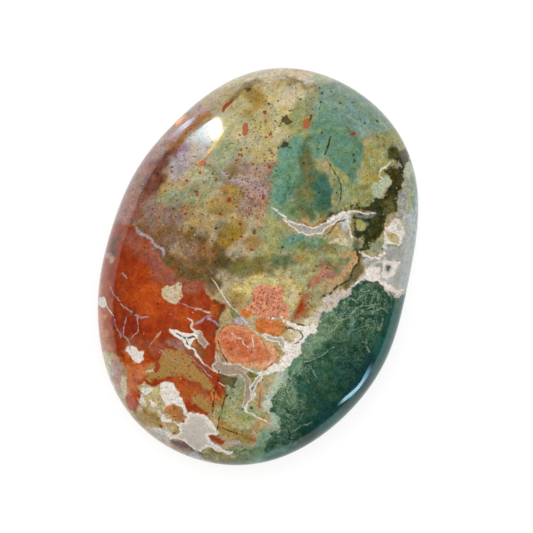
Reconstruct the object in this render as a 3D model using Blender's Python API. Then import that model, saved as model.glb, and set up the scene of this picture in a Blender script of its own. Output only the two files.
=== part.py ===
"""A tumbled and polished palm stone of unicorn jasper.

The stone is one solid pebble. Seen from above it is an egg-shaped oval with a slight dent in its
right side. Its upper face is a low dome that turns quickly into a round flank, and its underside
is a flatter dome that ends in a small polished spot, on which the stone rests. The girdle, where
the stone is widest, climbs towards the dented side, so that the flank there is low and steep.

Frame: metres, +Z up, +Y along the stone's long axis towards its narrow end. The origin is below
the middle of the oval, on the surface that the stone rests on.
"""

import math

import bmesh
import bpy
from mathutils import Vector

MM = 0.001

# Radii of the oval from its middle, every 15 degrees anticlockwise from +X
OUTLINE_MM = (
    25.2, 24.2, 26.6, 28.7, 31.0, 33.3, 33.0, 33.5,
    30.9, 28.3, 26.7, 25.4, 24.9, 25.4, 26.5, 28.6,
    30.8, 32.5, 33.1, 32.9, 31.0, 29.2, 27.3, 25.5,
)
# The oval keeps waves up to this many to the turn, so that it stays as smooth as a tumbled stone
OUTLINE_WAVES = 8

# Height of the upper dome's middle, and of the girdle there, above the resting surface
THICKNESS = 22.0 * MM
GIRDLE_HEIGHT = 11.8 * MM
# How much the girdle climbs for each metre towards +X
GIRDLE_RISE = 0.068
# How far each dome departs from a plain ellipsoid towards a flat face with a round shoulder
TOP_FULLNESS = 0.30
BASE_FULLNESS = 0.56
# How much of the underside's tip is polished away to make the resting spot
REST_DEPTH = 0.25 * MM

# Each round of subdivision makes four triangles of one, from an icosahedron's twenty
SUBDIVISIONS = 5
# Corners nearer than this to the resting spot's edge would leave slivers
SNAP = 0.12 * MM

JASPER_COLOUR = (0.47, 0.33, 0.20, 1.0)
JASPER_ROUGHNESS = 0.12


def outline_waves():
    """The cosine and sine parts of the oval's radius, in metres, for 0 to OUTLINE_WAVES waves."""
    count = len(OUTLINE_MM)
    waves = []
    for wave in range(OUTLINE_WAVES + 1):
        share = (1 if wave == 0 else 2) * MM / count
        turns = [2 * math.pi * wave * i / count for i in range(count)]
        cosine = share * sum(r * math.cos(t) for r, t in zip(OUTLINE_MM, turns))
        sine = share * sum(r * math.sin(t) for r, t in zip(OUTLINE_MM, turns))
        waves.append((cosine, sine))
    return waves


def outline_radius(angle, waves):
    """The oval's radius at an angle from +X."""
    return sum(c * math.cos(k * angle) + s * math.sin(k * angle) for k, (c, s) in enumerate(waves))


def outline_middle(waves, steps=720):
    """The middle of the box around the oval."""
    angles = [2 * math.pi * i / steps for i in range(steps)]
    xs = [outline_radius(a, waves) * math.cos(a) for a in angles]
    ys = [outline_radius(a, waves) * math.sin(a) for a in angles]
    return Vector(((min(xs) + max(xs)) / 2, (min(ys) + max(ys)) / 2, 0))


def stone_point(direction, waves, middle):
    """The point of the stone's surface that a direction on the unit sphere stands for."""
    fullness = TOP_FULLNESS if direction.z > 0 else BASE_FULLNESS
    round_share = 1 - fullness
    across = 1 - min(1, direction.z ** 2)
    spread = (math.sqrt(round_share ** 2 + 4 * fullness * across) - round_share) / (2 * fullness)
    angle = math.atan2(direction.y, direction.x)
    reach = math.sqrt(spread) * outline_radius(angle, waves)
    point = Vector((reach * math.cos(angle), reach * math.sin(angle), 0)) - middle
    girdle = GIRDLE_HEIGHT + GIRDLE_RISE * point.x
    dome = THICKNESS - girdle if direction.z > 0 else girdle + REST_DEPTH
    point.z = girdle + dome * direction.z
    return point


def jasper_material():
    """A stand-in finish: the stone's mean colour with its polish."""
    material = bpy.data.materials.new("jasper")
    material.use_nodes = True
    shader = material.node_tree.nodes["Principled BSDF"]
    shader.inputs["Base Color"].default_value = JASPER_COLOUR
    shader.inputs["Roughness"].default_value = JASPER_ROUGHNESS
    shader.inputs["Metallic"].default_value = 0.0
    return material


def polish_resting_spot(mesh):
    """Cuts the underside's tip off at the resting surface and closes it with one flat face."""
    near = [v for v in mesh.verts if abs(v.co.z) < SNAP]
    for vertex in near:
        vertex.co.z = 0
    bmesh.ops.bisect_plane(
        mesh,
        geom=mesh.verts[:] + mesh.edges[:] + mesh.faces[:],
        dist=1e-6,
        plane_co=(0, 0, 0),
        plane_no=(0, 0, -1),
        clear_outer=True,
    )
    rim = [e for e in mesh.edges if e.is_boundary]
    bmesh.ops.contextual_create(mesh, geom=rim)
    bmesh.ops.recalc_face_normals(mesh, faces=mesh.faces)


def palm_stone(collection):
    """The whole stone, shaped from a sphere."""
    waves = outline_waves()
    middle = outline_middle(waves)
    mesh = bmesh.new()
    bmesh.ops.create_icosphere(mesh, subdivisions=SUBDIVISIONS, radius=1)
    for vertex in mesh.verts:
        vertex.co = stone_point(vertex.co.normalized(), waves, middle)
    polish_resting_spot(mesh)
    data = bpy.data.meshes.new("palm_stone")
    mesh.to_mesh(data)
    mesh.free()
    data.shade_smooth()
    data.set_sharp_from_angle(angle=math.radians(30))
    data.materials.append(jasper_material())
    stone = bpy.data.objects.new("palm_stone", data)
    collection.objects.link(stone)
    return stone


def main():
    """Clears the scene and builds the stone."""
    for obj in list(bpy.data.objects):
        bpy.data.objects.remove(obj, do_unlink=True)
    collection = bpy.data.collections.new("unicorn_jasper")
    bpy.context.scene.collection.children.link(collection)
    palm_stone(collection)


main()
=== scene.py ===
"""The looks of a polished palm stone of unicorn jasper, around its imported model.

The stone is one fine mesh of the same form as its solid. Its colours are laid on in the order in
which a mineral painter would work: a ground of soft clouds, then the beds with their own clouds,
then patches, threads and specks. Places on the face are in pixels of the 533 by 533 photograph,
seen from the photograph's camera, and the hidden underside takes them through the stone.
"""

import logging
import math
from dataclasses import dataclass, field
from enum import Enum
from typing import Callable

import bpy
import numpy as np
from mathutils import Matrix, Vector


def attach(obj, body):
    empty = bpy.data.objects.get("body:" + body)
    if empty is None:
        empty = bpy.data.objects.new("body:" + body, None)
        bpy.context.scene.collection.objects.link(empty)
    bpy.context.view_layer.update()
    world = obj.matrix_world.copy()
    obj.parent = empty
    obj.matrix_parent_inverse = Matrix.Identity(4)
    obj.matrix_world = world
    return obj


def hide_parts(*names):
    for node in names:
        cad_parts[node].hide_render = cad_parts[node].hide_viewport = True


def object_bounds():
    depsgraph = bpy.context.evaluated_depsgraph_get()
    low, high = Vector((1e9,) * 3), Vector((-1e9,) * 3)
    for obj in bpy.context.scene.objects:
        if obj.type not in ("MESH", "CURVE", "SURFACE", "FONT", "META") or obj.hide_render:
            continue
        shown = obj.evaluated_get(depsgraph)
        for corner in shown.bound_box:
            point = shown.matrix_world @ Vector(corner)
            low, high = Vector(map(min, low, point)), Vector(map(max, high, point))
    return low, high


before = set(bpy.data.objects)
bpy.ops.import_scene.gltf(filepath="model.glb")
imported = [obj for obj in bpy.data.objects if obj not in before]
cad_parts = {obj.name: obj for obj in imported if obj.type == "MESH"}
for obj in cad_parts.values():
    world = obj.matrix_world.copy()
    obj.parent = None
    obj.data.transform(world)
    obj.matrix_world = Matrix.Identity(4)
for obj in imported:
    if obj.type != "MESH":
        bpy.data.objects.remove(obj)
CAD_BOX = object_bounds()

LOG = logging.getLogger("unicorn_jasper")
MM = 0.001
PHOTO_SIDE = 533


class Tint(Enum):
    """The stone's colours, as a mineral painter would name them, in sRGB; a few of them also serve as
    painted reflections along the rim.
    """

    CREAM = (214, 200, 168)
    BUFF = (188, 172, 134)
    SAND = (170, 150, 112)
    OCHRE = (158, 128, 74)
    GOLD = (148, 116, 48)
    KHAKI = (146, 147, 100)
    OLIVE = (120, 110, 64)
    UMBER = (104, 84, 52)
    SMOKE = (80, 66, 36)
    TAUPE = (130, 96, 66)
    MAUVE = (146, 118, 100)
    ROSE_GREY = (156, 124, 112)
    LILAC = (172, 156, 158)
    SAGE = (146, 152, 116)
    MINT = (156, 172, 146)
    SEA = (106, 142, 118)
    TEAL = (84, 128, 106)
    DEEP_TEAL = (64, 102, 84)
    FERN = (84, 106, 78)
    MOSS = (118, 143, 110)
    PINE = (48, 78, 62)
    DEEP_PINE = (30, 60, 54)
    BLUE_PINE = (26, 62, 62)
    BRICK = (152, 62, 30)
    EMBER = (166, 70, 30)
    RUST = (138, 52, 20)
    ROSE = (152, 88, 70)
    CORAL = (200, 122, 84)
    APRICOT = (210, 146, 108)
    ORANGE = (196, 112, 56)
    BLOOD = (146, 40, 22)
    MAROON = (108, 64, 54)
    MILK = (216, 208, 196)
    CHALK = (190, 186, 176)
    ASH = (164, 160, 152)
    SLATE = (140, 132, 122)
    LAVENDER = (172, 164, 182)
    DARK_OLIVE = (62, 63, 40)
    LICHEN = (150, 150, 90)
    BEIGE = (180, 160, 128)
    PIGEON = (160, 138, 124)
    BARK = (72, 56, 34)
    INK = (38, 36, 24)
    CELADON = (128, 152, 134)
    BRONZE = (166, 112, 66)
    COPPER = (174, 88, 46)
    PEARL = (178, 180, 174)
    RIM_REFLECTION_BLUE = (174, 186, 186)
    # Pale grey-blue, laid only as a painted reflection of the pale surroundings along the right rim
    LAGOON = (36, 90, 84)
    AMBER = (186, 140, 40)
    SNOW = (232, 224, 216)
    SHELL_WHITE = (220, 208, 200)
    STRAW = (200, 182, 122)
    FOG = (196, 200, 198)
    FLAME = (190, 84, 40)
    DOVE = (194, 186, 176)
    BLUSH = (186, 134, 118)
    HAY = (184, 170, 118)
    HONEY = (171, 135, 80)
    SHELL = (176, 150, 134)
    PALE_MINT = (184, 190, 162)
    DUSTY_ROSE = (170, 118, 110)
    RED_JASPER = (166, 58, 40)
    SALMON = (196, 130, 104)
    SHRIMP = (222, 170, 134)
    PLUM = (134, 96, 86)
    TAN = (190, 146, 104)

    def socket(self) -> tuple[float, ...]:
        """The tint as the value of a colour socket."""
        return (*map(float, linear_light(np.array(self.value))), 1.0)


def linear_light(colour: np.ndarray) -> np.ndarray:
    """Colours of 0 to 255 in sRGB, as shares of linear light."""
    share = colour / 255
    return np.where(share <= 0.04045, share / 12.92, ((share + 0.055) / 1.055) ** 2.4)


def smooth_step(low: float, high: float, at: np.ndarray) -> np.ndarray:
    """Rises smoothly from 0 at low to 1 at high."""
    share = np.clip((at - low) / (high - low), 0, 1)
    return share * share * (3 - 2 * share)


@dataclass(frozen=True)
class SoftNoise:
    """Smooth seeded noise on a plane, for the way that soft edges wander."""

    seed: int
    wave: float
    cells: int = 64

    def at(self, places: np.ndarray) -> np.ndarray:
        """The noise at some places.

        Args:
            places: Places on the plane, one row of x and y each.

        Returns:
            One number for each place, from -1 to 1.
        """
        lattice = np.random.default_rng(self.seed).uniform(-1, 1, (self.cells, self.cells))
        cell = places / self.wave
        corner = np.floor(cell).astype(int)
        share = cell - corner
        share = share * share * (3 - 2 * share)
        x0, y0 = (corner % self.cells).T
        x1 = (x0 + 1) % self.cells
        y1 = (y0 + 1) % self.cells
        low = lattice[x0, y0] * (1 - share[:, 0]) + lattice[x1, y0] * share[:, 0]
        high = lattice[x0, y1] * (1 - share[:, 0]) + lattice[x1, y1] * share[:, 0]
        return low * (1 - share[:, 1]) + high * share[:, 1]


@dataclass(frozen=True)
class PhotoView:
    """The photograph's camera, and where points of the stone fall in its picture."""

    azimuth: float = 20.0
    elevation: float = 82.0
    distance: float = 0.52
    target_height: float = 0.012
    px_per_mm: float = 6.121
    middle_px: tuple[float, float] = (258.7, 264.8)
    sensor_mm: float = 36.0

    def axes(self) -> tuple[np.ndarray, np.ndarray, np.ndarray]:
        """The camera's right, up and backward directions.

        Returns:
            The three directions, each of length 1.
        """
        turn = math.radians(self.azimuth)
        tilt = math.radians(self.elevation)
        right = np.array((math.cos(turn), math.sin(turn), 0))
        back = np.array((
            math.sin(turn) * math.cos(tilt),
            -math.cos(turn) * math.cos(tilt),
            math.sin(tilt),
        ))
        return right, np.cross(back, right), back

    def pixels(self, points: np.ndarray) -> np.ndarray:
        """Where points fall in the photograph.

        Args:
            points: Points in metres, one row each.

        Returns:
            One row of pixels across and down for each point.
        """
        right, up, back = self.axes()
        offset = points - (0, 0, self.target_height)
        reach = self.px_per_mm / MM * self.distance / (self.distance - offset @ back)
        across = self.middle_px[0] + offset @ right * reach
        down = self.middle_px[1] - offset @ up * reach
        return np.stack((across, down), axis=1)

    def eye(self) -> np.ndarray:
        """The camera's place, moved aside so that the stone lies where the photograph has it.

        Returns:
            The place, in metres.
        """
        right, up, back = self.axes()
        aside = (PHOTO_SIDE / 2 - self.middle_px[0]) * MM / self.px_per_mm
        above = (self.middle_px[1] - PHOTO_SIDE / 2) * MM / self.px_per_mm
        return (0, 0, self.target_height) + back * self.distance + right * aside + up * above

    def build_camera(self) -> bpy.types.Object:
        """Makes the camera and gives it to the scene.

        Returns:
            The camera object.
        """
        data = bpy.data.cameras.new("photo_camera")
        data.sensor_width = self.sensor_mm
        data.lens = self.sensor_mm * self.distance / MM * self.px_per_mm / PHOTO_SIDE
        data.clip_start = 0.01
        camera = placed("photo_camera", data)
        camera.location = self.eye()
        back = Vector(self.axes()[2])
        camera.rotation_euler = back.to_track_quat("Z", "Y").to_euler()
        bpy.context.scene.camera = camera
        return camera


def placed(name: str, data: bpy.types.ID) -> bpy.types.Object:
    """A new object with some data, linked to the scene.

    Args:
        name: The object's name.
        data: Its mesh, camera or light.

    Returns:
        The object.
    """
    made = bpy.data.objects.new(name, data)
    bpy.context.scene.collection.objects.link(made)
    return made


@dataclass(frozen=True)
class StoneForm:
    """The stone's form, from the same sizes as its solid, and the fine mesh laid over it."""

    outline_mm: tuple[float, ...] = (
        25.2, 24.2, 26.6, 28.7, 31.0, 33.3, 33.0, 33.5,
        30.9, 28.3, 26.7, 25.4, 24.9, 25.4, 26.5, 28.6,
        30.8, 32.5, 33.1, 32.9, 31.0, 29.2, 27.3, 25.5,
    )
    outline_waves: int = 8
    thickness: float = 22.0 * MM
    girdle_height: float = 11.8 * MM
    girdle_rise: float = 0.068
    top_fullness: float = 0.30
    base_fullness: float = 0.56
    rest_depth: float = 0.25 * MM
    face_cells: int = 264
    # Rings of the underside from the girdle inwards: thinning, width in mm, how many
    rings: tuple[tuple[int, float, int], ...] = (
        (1, 0.25, 5), (2, 0.42, 7), (4, 0.66, 33), (8, 0.66, 3), (16, 0.66, 4), (32, 0.66, 2),
    )
    mean_radius: float = 28.0 * MM

    def radius(self, angle: np.ndarray) -> np.ndarray:
        """The oval's radius at some angles from +X, in metres.

        Args:
            angle: The angles.

        Returns:
            One radius for each angle.
        """
        count = len(self.outline_mm)
        turns = np.arange(count) * 2 * math.pi / count
        radii = np.array(self.outline_mm) * MM
        total = np.full_like(angle, radii.mean())
        for wave in range(1, self.outline_waves + 1):
            cosine = 2 / count * (radii * np.cos(wave * turns)).sum()
            sine = 2 / count * (radii * np.sin(wave * turns)).sum()
            total += cosine * np.cos(wave * angle) + sine * np.sin(wave * angle)
        return total

    def middle(self, steps: int = 720) -> np.ndarray:
        """The middle of the box around the oval.

        Args:
            steps: How many angles the oval is measured at.

        Returns:
            Its x and y.
        """
        angle = np.arange(steps) * 2 * math.pi / steps
        xs = self.radius(angle) * np.cos(angle)
        ys = self.radius(angle) * np.sin(angle)
        return np.array(((xs.min() + xs.max()) / 2, (ys.min() + ys.max()) / 2))

    def climb(self, share: np.ndarray, upper: bool) -> np.ndarray:
        """How much of its dome's height the stone reaches at some shares of its radius."""
        fullness = self.top_fullness if upper else self.base_fullness
        return np.sqrt(np.clip(1 - (1 - fullness) * share ** 2 - fullness * share ** 4, 0, 1))

    def surface(self, angle: np.ndarray, share: np.ndarray, upper: bool) -> np.ndarray:
        """Points of the stone's surface.

        Args:
            angle: Angles from +X.
            share: Distances from the axis, as shares of the oval's radius.
            upper: Whether the points are on the upper face.

        Returns:
            One row of x, y and z for each point.
        """
        reach = share * self.radius(angle)
        middle = self.middle()
        x = reach * np.cos(angle) - middle[0]
        y = reach * np.sin(angle) - middle[1]
        girdle = self.girdle_height + self.girdle_rise * x
        if upper:
            z = girdle + (self.thickness - girdle) * self.climb(share, upper)
        else:
            z = np.maximum(girdle - (girdle + self.rest_depth) * self.climb(share, upper), 0)
        return np.stack((x, y, z), axis=1)

    def even_shares(self, upper: bool, steps: int = 2000) -> tuple[np.ndarray, np.ndarray]:
        """How far along a mean profile each share of the radius is, from the middle outwards.

        Args:
            upper: Whether the profile is the upper face's.
            steps: How many straight pieces the profile is measured in.

        Returns:
            The distances along the profile in metres, and the shares of the radius.
        """
        share = np.sin(np.linspace(0, math.pi / 2, steps))
        dome = self.thickness - self.girdle_height if upper else self.girdle_height
        climb = self.climb(share, upper) * dome
        run = np.hypot(np.diff(share * self.mean_radius), np.diff(climb))
        return np.concatenate(((0.0,), np.cumsum(run))), share

    def face_grid(self) -> tuple[np.ndarray, list[list[int]], np.ndarray]:
        """The upper face, as a square grid pressed round.

        Returns:
            Its points, its quads, and the numbers of its edge points, anticlockwise.
        """
        last = self.face_cells
        side = last + 1
        ramp = np.linspace(-1, 1, side)
        b, a = (line.ravel() for line in np.meshgrid(ramp, ramp, indexing="ij"))
        wide = np.abs(a) > np.abs(b)
        safe_a = np.where(a == 0, 1, a)
        safe_b = np.where(b == 0, 1, b)
        quarter = math.pi / 4
        angle = np.where(wide, quarter * b / safe_a, 2 * quarter - quarter * a / safe_b)
        reach = np.where(wide, a, b)
        angle = np.where(reach < 0, angle + math.pi, angle)
        along, shares = self.even_shares(upper=True)
        share = np.interp(np.abs(reach) * along[-1], along, shares)
        numbers = np.arange(side * side).reshape(side, side)
        first = numbers[:last, :last].ravel()
        quads = np.stack((first, first + 1, first + side + 1, first + side), axis=1)
        south_east = (numbers[0, :last], numbers[:last, last])
        north_west = (numbers[last, :0:-1], numbers[:0:-1, 0])
        edge = np.concatenate(south_east + north_west)
        return self.surface(angle, share, upper=True), quads.tolist(), edge

    def underside(
        self, edge: np.ndarray, turns: np.ndarray, start: int
    ) -> tuple[np.ndarray, list[list[int]]]:
        """The underside, as rings from the girdle inwards that thin out as they shrink.

        Args:
            edge: The numbers of the girdle's points, anticlockwise.
            turns: The angles of those points.
            start: The number of the first new point.

        Returns:
            The new points and their faces.
        """
        along, shares = self.even_shares(upper=False)
        travel = along[-1]
        ring = edge.tolist()
        points = []
        faces = []
        thin_now = 1
        for thin, pitch_mm in [r[:2] for r in self.rings for _ in range(r[2])]:
            travel -= pitch_mm * MM
            halve = thin != thin_now
            turns = turns[::2] if halve else turns
            size = len(turns)
            share = np.full(size, np.interp(travel, along, shares))
            points.append(self.surface(turns, share, upper=False))
            new_ring = list(range(start, start + size))
            start += size
            for i in range(size):
                j = (i + 1) % size
                if halve:
                    a, b, c = ring[2 * i], ring[2 * i + 1], ring[(2 * i + 2) % len(ring)]
                    p, q = new_ring[i], new_ring[j]
                    faces += [[a, p, b], [b, p, q], [b, q, c]]
                else:
                    faces.append([ring[i], new_ring[i], new_ring[j], ring[j]])
            ring = new_ring
            thin_now = thin
        points.append(self.surface(np.zeros(1), np.zeros(1), upper=False))
        faces += [[a, start, b] for a, b in zip(ring, ring[1:] + ring[:1])]
        return np.concatenate(points), faces

    def build(self, name: str) -> bpy.types.Object:
        """Makes the stone's fine mesh.

        Args:
            name: The object's name.

        Returns:
            The object, linked to the scene.
        """
        top, quads, edge = self.face_grid()
        rim = top[edge, :2] + self.middle()
        base, rings = self.underside(edge, np.arctan2(rim[:, 1], rim[:, 0]), len(top))
        data = bpy.data.meshes.new(name)
        data.from_pydata(np.concatenate((top, base)).tolist(), [], quads + rings)
        data.update()
        data.shade_smooth()
        return placed(name, data)


def keep(data: bpy.types.Mesh, name: str, values: np.ndarray) -> None:
    """Keeps numbers or colours on a mesh's points, for a shader to read.

    Args:
        data: The mesh.
        name: What the shader reads them by.
        values: One number or one colour for each point.
    """
    if values.ndim == 1:
        layer = data.attributes.new(name, "FLOAT", "POINT")
        layer.data.foreach_set("value", values.astype(np.float32))
        return
    layer = data.attributes.new(name, "FLOAT_COLOR", "POINT")
    colour = np.ones((len(values), 4), np.float32)
    colour[:, :3] = values
    layer.data.foreach_set("color", colour.ravel())


def mesh_points(data: bpy.types.Mesh) -> tuple[np.ndarray, np.ndarray]:
    """A mesh's points and their normals, one row each.

    Args:
        data: The mesh.

    Returns:
        The points and the normals.
    """
    points = np.zeros(len(data.vertices) * 3)
    normals = np.zeros(len(data.vertices) * 3)
    data.vertices.foreach_get("co", points)
    data.vertices.foreach_get("normal", normals)
    return points.reshape(-1, 3), normals.reshape(-1, 3)


class Mark:
    """A shape drawn on the stone, in pixels of the photograph."""

    def corners(self) -> np.ndarray:
        """The lowest and the highest corner of a box around the mark."""
        raise NotImplementedError

    def exact(self, places: np.ndarray) -> np.ndarray:
        """How far places are outside the mark's edge, below zero inside it."""
        raise NotImplementedError

    def reach(self, places: np.ndarray, span: float) -> np.ndarray:
        """How far places are outside the mark's edge, in pixels, cut off at a span.

        Args:
            places: Places in the photograph, one row each.
            span: The distance past which it doesn't matter.

        Returns:
            One distance for each place, below zero inside the mark.
        """
        low, high = self.corners()
        near = np.all((places > low - span) & (places < high + span), axis=1)
        away = np.full(len(places), span)
        away[near] = np.minimum(self.exact(places[near]), span)
        return away


def curve_through(points: tuple[tuple[float, float], ...], closed: bool, steps: int) -> np.ndarray:
    """A smooth curve through some points.

    Args:
        points: The points, in order.
        closed: Whether the curve comes back to its start.
        steps: How many pieces each stretch between points has.

    Returns:
        The curve's points, one row each.
    """
    route = np.array(points, float)
    if closed:
        padded = np.concatenate((route[-1:], route, route[:2]))
    else:
        padded = np.concatenate((2 * route[:1] - route[1:2], route, 2 * route[-1:] - route[-2:-1]))
    share = (np.arange(steps) / steps)[:, None]
    pieces = []
    for a, b, c, d in zip(padded, padded[1:], padded[2:], padded[3:]):
        bend = 2 * a - 5 * b + 4 * c - d
        twist = 3 * b - a - 3 * c + d
        pieces.append(b + 0.5 * ((c - a) * share + bend * share ** 2 + twist * share ** 3))
    if not closed:
        pieces.append(route[-1:])
    return np.concatenate(pieces)


@dataclass(frozen=True)
class Spot(Mark):
    """A round or oval mark."""

    x: float
    y: float
    wide: float
    tall: float = 0.0
    turn: float = 0.0

    def corners(self) -> np.ndarray:
        """The lowest and the highest corner of a box around the mark."""
        reach = max(self.wide, self.tall)
        return np.array(((self.x - reach, self.y - reach), (self.x + reach, self.y + reach)))

    def exact(self, places: np.ndarray) -> np.ndarray:
        """How far places are outside the oval.

        Args:
            places: Places in the photograph, one row each.

        Returns:
            One distance for each place, below zero inside.
        """
        turn = math.radians(self.turn)
        dx = places[:, 0] - self.x
        dy = places[:, 1] - self.y
        tall = self.tall or self.wide
        along = (dx * math.cos(turn) + dy * math.sin(turn)) / self.wide
        over = (dy * math.cos(turn) - dx * math.sin(turn)) / tall
        scaled = np.hypot(along, over) + 1e-6
        slope = np.hypot(along / self.wide, over / tall) + 1e-9
        return scaled * (scaled - 1) / slope


@dataclass(frozen=True)
class Patch(Mark):
    """A closed outline with rounded corners."""

    points: tuple[tuple[float, float], ...]

    def corners(self) -> np.ndarray:
        """The lowest and the highest corner of a box around the mark."""
        route = np.array(self.points, float)
        return np.array((route.min(0) - 1, route.max(0) + 1))

    def exact(self, places: np.ndarray) -> np.ndarray:
        """How far places are outside the outline.

        Args:
            places: Places in the photograph, one row each.

        Returns:
            One distance for each place, below zero inside.
        """
        route = curve_through(self.points, closed=True, steps=3)
        away = np.full(len(places), np.inf)
        inside = np.zeros(len(places), bool)
        x, y = places.T
        for start, end in zip(route, np.roll(route, -1, axis=0)):
            run = end - start
            share = np.clip(((places - start) @ run) / max(run @ run, 1e-9), 0, 1)
            gap = np.hypot(x - start[0] - share * run[0], y - start[1] - share * run[1])
            away = np.minimum(away, gap)
            if start[1] != end[1]:
                between = (start[1] > y) != (end[1] > y)
                crossing = start[0] + (y - start[1]) * run[0] / run[1]
                inside ^= between & (x < crossing)
        return np.where(inside, -away, away)


@dataclass(frozen=True)
class Stroke(Mark):
    """A mark along a route, with half its width at even steps along it."""

    points: tuple[tuple[float, float], ...]
    halves: tuple[float, ...] = (1.0,)

    def corners(self) -> np.ndarray:
        """The lowest and the highest corner of a box around the mark."""
        route = np.array(self.points, float)
        return np.array((route.min(0) - max(self.halves), route.max(0) + max(self.halves)))

    def nearest(self, places: np.ndarray) -> tuple[np.ndarray, np.ndarray, np.ndarray]:
        """Measures places against the route.

        Args:
            places: Places in the photograph, one row each.

        Returns:
            The distance to the route, the side of it as 1 or -1, and half its width there.
        """
        route = curve_through(self.points, closed=False, steps=3)
        pieces = len(route) - 1
        stops = np.linspace(0, 1, len(self.halves))
        away = np.full(len(places), np.inf)
        side = np.ones(len(places))
        half = np.full(len(places), self.halves[0])
        for number, (start, end) in enumerate(zip(route, route[1:])):
            run = end - start
            offset = places - start
            share = np.clip((offset @ run) / max(run @ run, 1e-9), 0, 1)
            distance = np.hypot(offset[:, 0] - share * run[0], offset[:, 1] - share * run[1])
            closer = distance < away
            away = np.where(closer, distance, away)
            turn = run[0] * offset[:, 1] - run[1] * offset[:, 0]
            side = np.where(closer, np.where(turn < 0, -1, 1), side)
            width = np.interp((number + share) / pieces, stops, self.halves)
            half = np.where(closer, width, half)
        return away, side, half

    def exact(self, places: np.ndarray) -> np.ndarray:
        """How far places are outside the stroke, below zero inside it."""
        away, _, half = self.nearest(places)
        return away - half


def pairs(flat: tuple[float, ...]) -> tuple[tuple[float, float], ...]:
    """Places from one flat row of their pixels across and down."""
    return tuple(zip(flat[::2], flat[1::2]))


def mark(*parts: float | tuple[float, ...]) -> Mark:
    """A mark from plain numbers, all in pixels of the photograph.

    Args:
        parts: An oval's middle, half sizes and turn; or an outline's places in one flat row; or a
            route's places in one flat row, and then its half widths.

    Returns:
        The mark.
    """
    if not isinstance(parts[0], tuple):
        return Spot(*parts)
    points = pairs(parts[0])
    return Stroke(points, parts[1:]) if parts[1:] else Patch(points)


def marks(*rows: tuple[float | tuple[float, ...], ...]) -> tuple[Mark, ...]:
    """Marks from rows of plain numbers."""
    return tuple(mark(*row) for row in rows)


@dataclass(frozen=True)
class Wash:
    """A soft cloud of one tint."""

    tint: Tint
    mark: Mark
    strength: float
    blur: float


def washes(*rows: tuple[Tint | float | tuple[float, ...], ...]) -> tuple[Wash, ...]:
    """Washes from rows of a tint, a strength, a blur in pixels, and a mark's plain numbers."""
    return tuple(Wash(tint, mark(*parts), strength, blur) for tint, strength, blur, *parts in rows)


@dataclass(frozen=True)
class Dab:
    """A soft change of an amount, such as how many specks a place has."""

    amount: float
    mark: Mark
    blur: float


def dabs(*rows: tuple[float | tuple[float, ...], ...]) -> tuple[Dab, ...]:
    """Dabs from rows of an amount, a blur in pixels, and a mark's plain numbers."""
    return tuple(Dab(amount, mark(*parts), blur) for amount, blur, *parts in rows)


@dataclass(frozen=True)
class Sheet:
    """Where the stone's points take their colours from, in pixels of the photograph."""

    front: np.ndarray
    back: np.ndarray
    skin: np.ndarray
    share: np.ndarray

    def blended(self, over: np.ndarray, below: np.ndarray) -> np.ndarray:
        """Values of the stone's points, blended over the girdle into those of the underside.

        Args:
            over: The values of all points, which take up the blend.
            below: The underside's values, for the points that have a share of it.

        Returns:
            The blended values.
        """
        weight = self.share[self.share > 0]
        if over.ndim == 2:
            weight = weight[:, None]
        over[self.share > 0] = over[self.share > 0] * (1 - weight) + below * weight
        return over

    def spread(self, rule: Callable[[np.ndarray], np.ndarray]) -> np.ndarray:
        """Lays a rule, which gives one value or one row for each place, over the stone's points."""
        return self.blended(rule(self.front), rule(self.back[self.share > 0]))

    def grain(
        self, rule: Callable[[np.ndarray, np.ndarray], np.ndarray], colour: np.ndarray
    ) -> np.ndarray:
        """Grains the colours of the stone's points over its skin, by a rule of place and colour."""
        under = self.share > 0
        return self.blended(rule(self.skin, colour), rule(self.back[under], colour[under]))

    def stirred(self, seed: int, stirs: tuple[tuple[float, float], ...]) -> "Sheet":
        """The same sheet with its places moved about by noise, so that edges are ragged.

        Args:
            seed: The noise's seed.
            stirs: Each noise's wave and how far it moves a place, in pixels.

        Returns:
            The stirred sheet.
        """
        front = self.front.copy()
        back = self.back.copy()
        for number, (wave, amount) in enumerate(stirs):
            for axis in range(2):
                noise = SoftNoise(seed + 7 * number + axis, wave)
                front[:, axis] += amount * noise.at(self.skin)
                back[:, axis] += amount * noise.at(self.back)
        return Sheet(front, back, self.skin, self.share)


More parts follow.
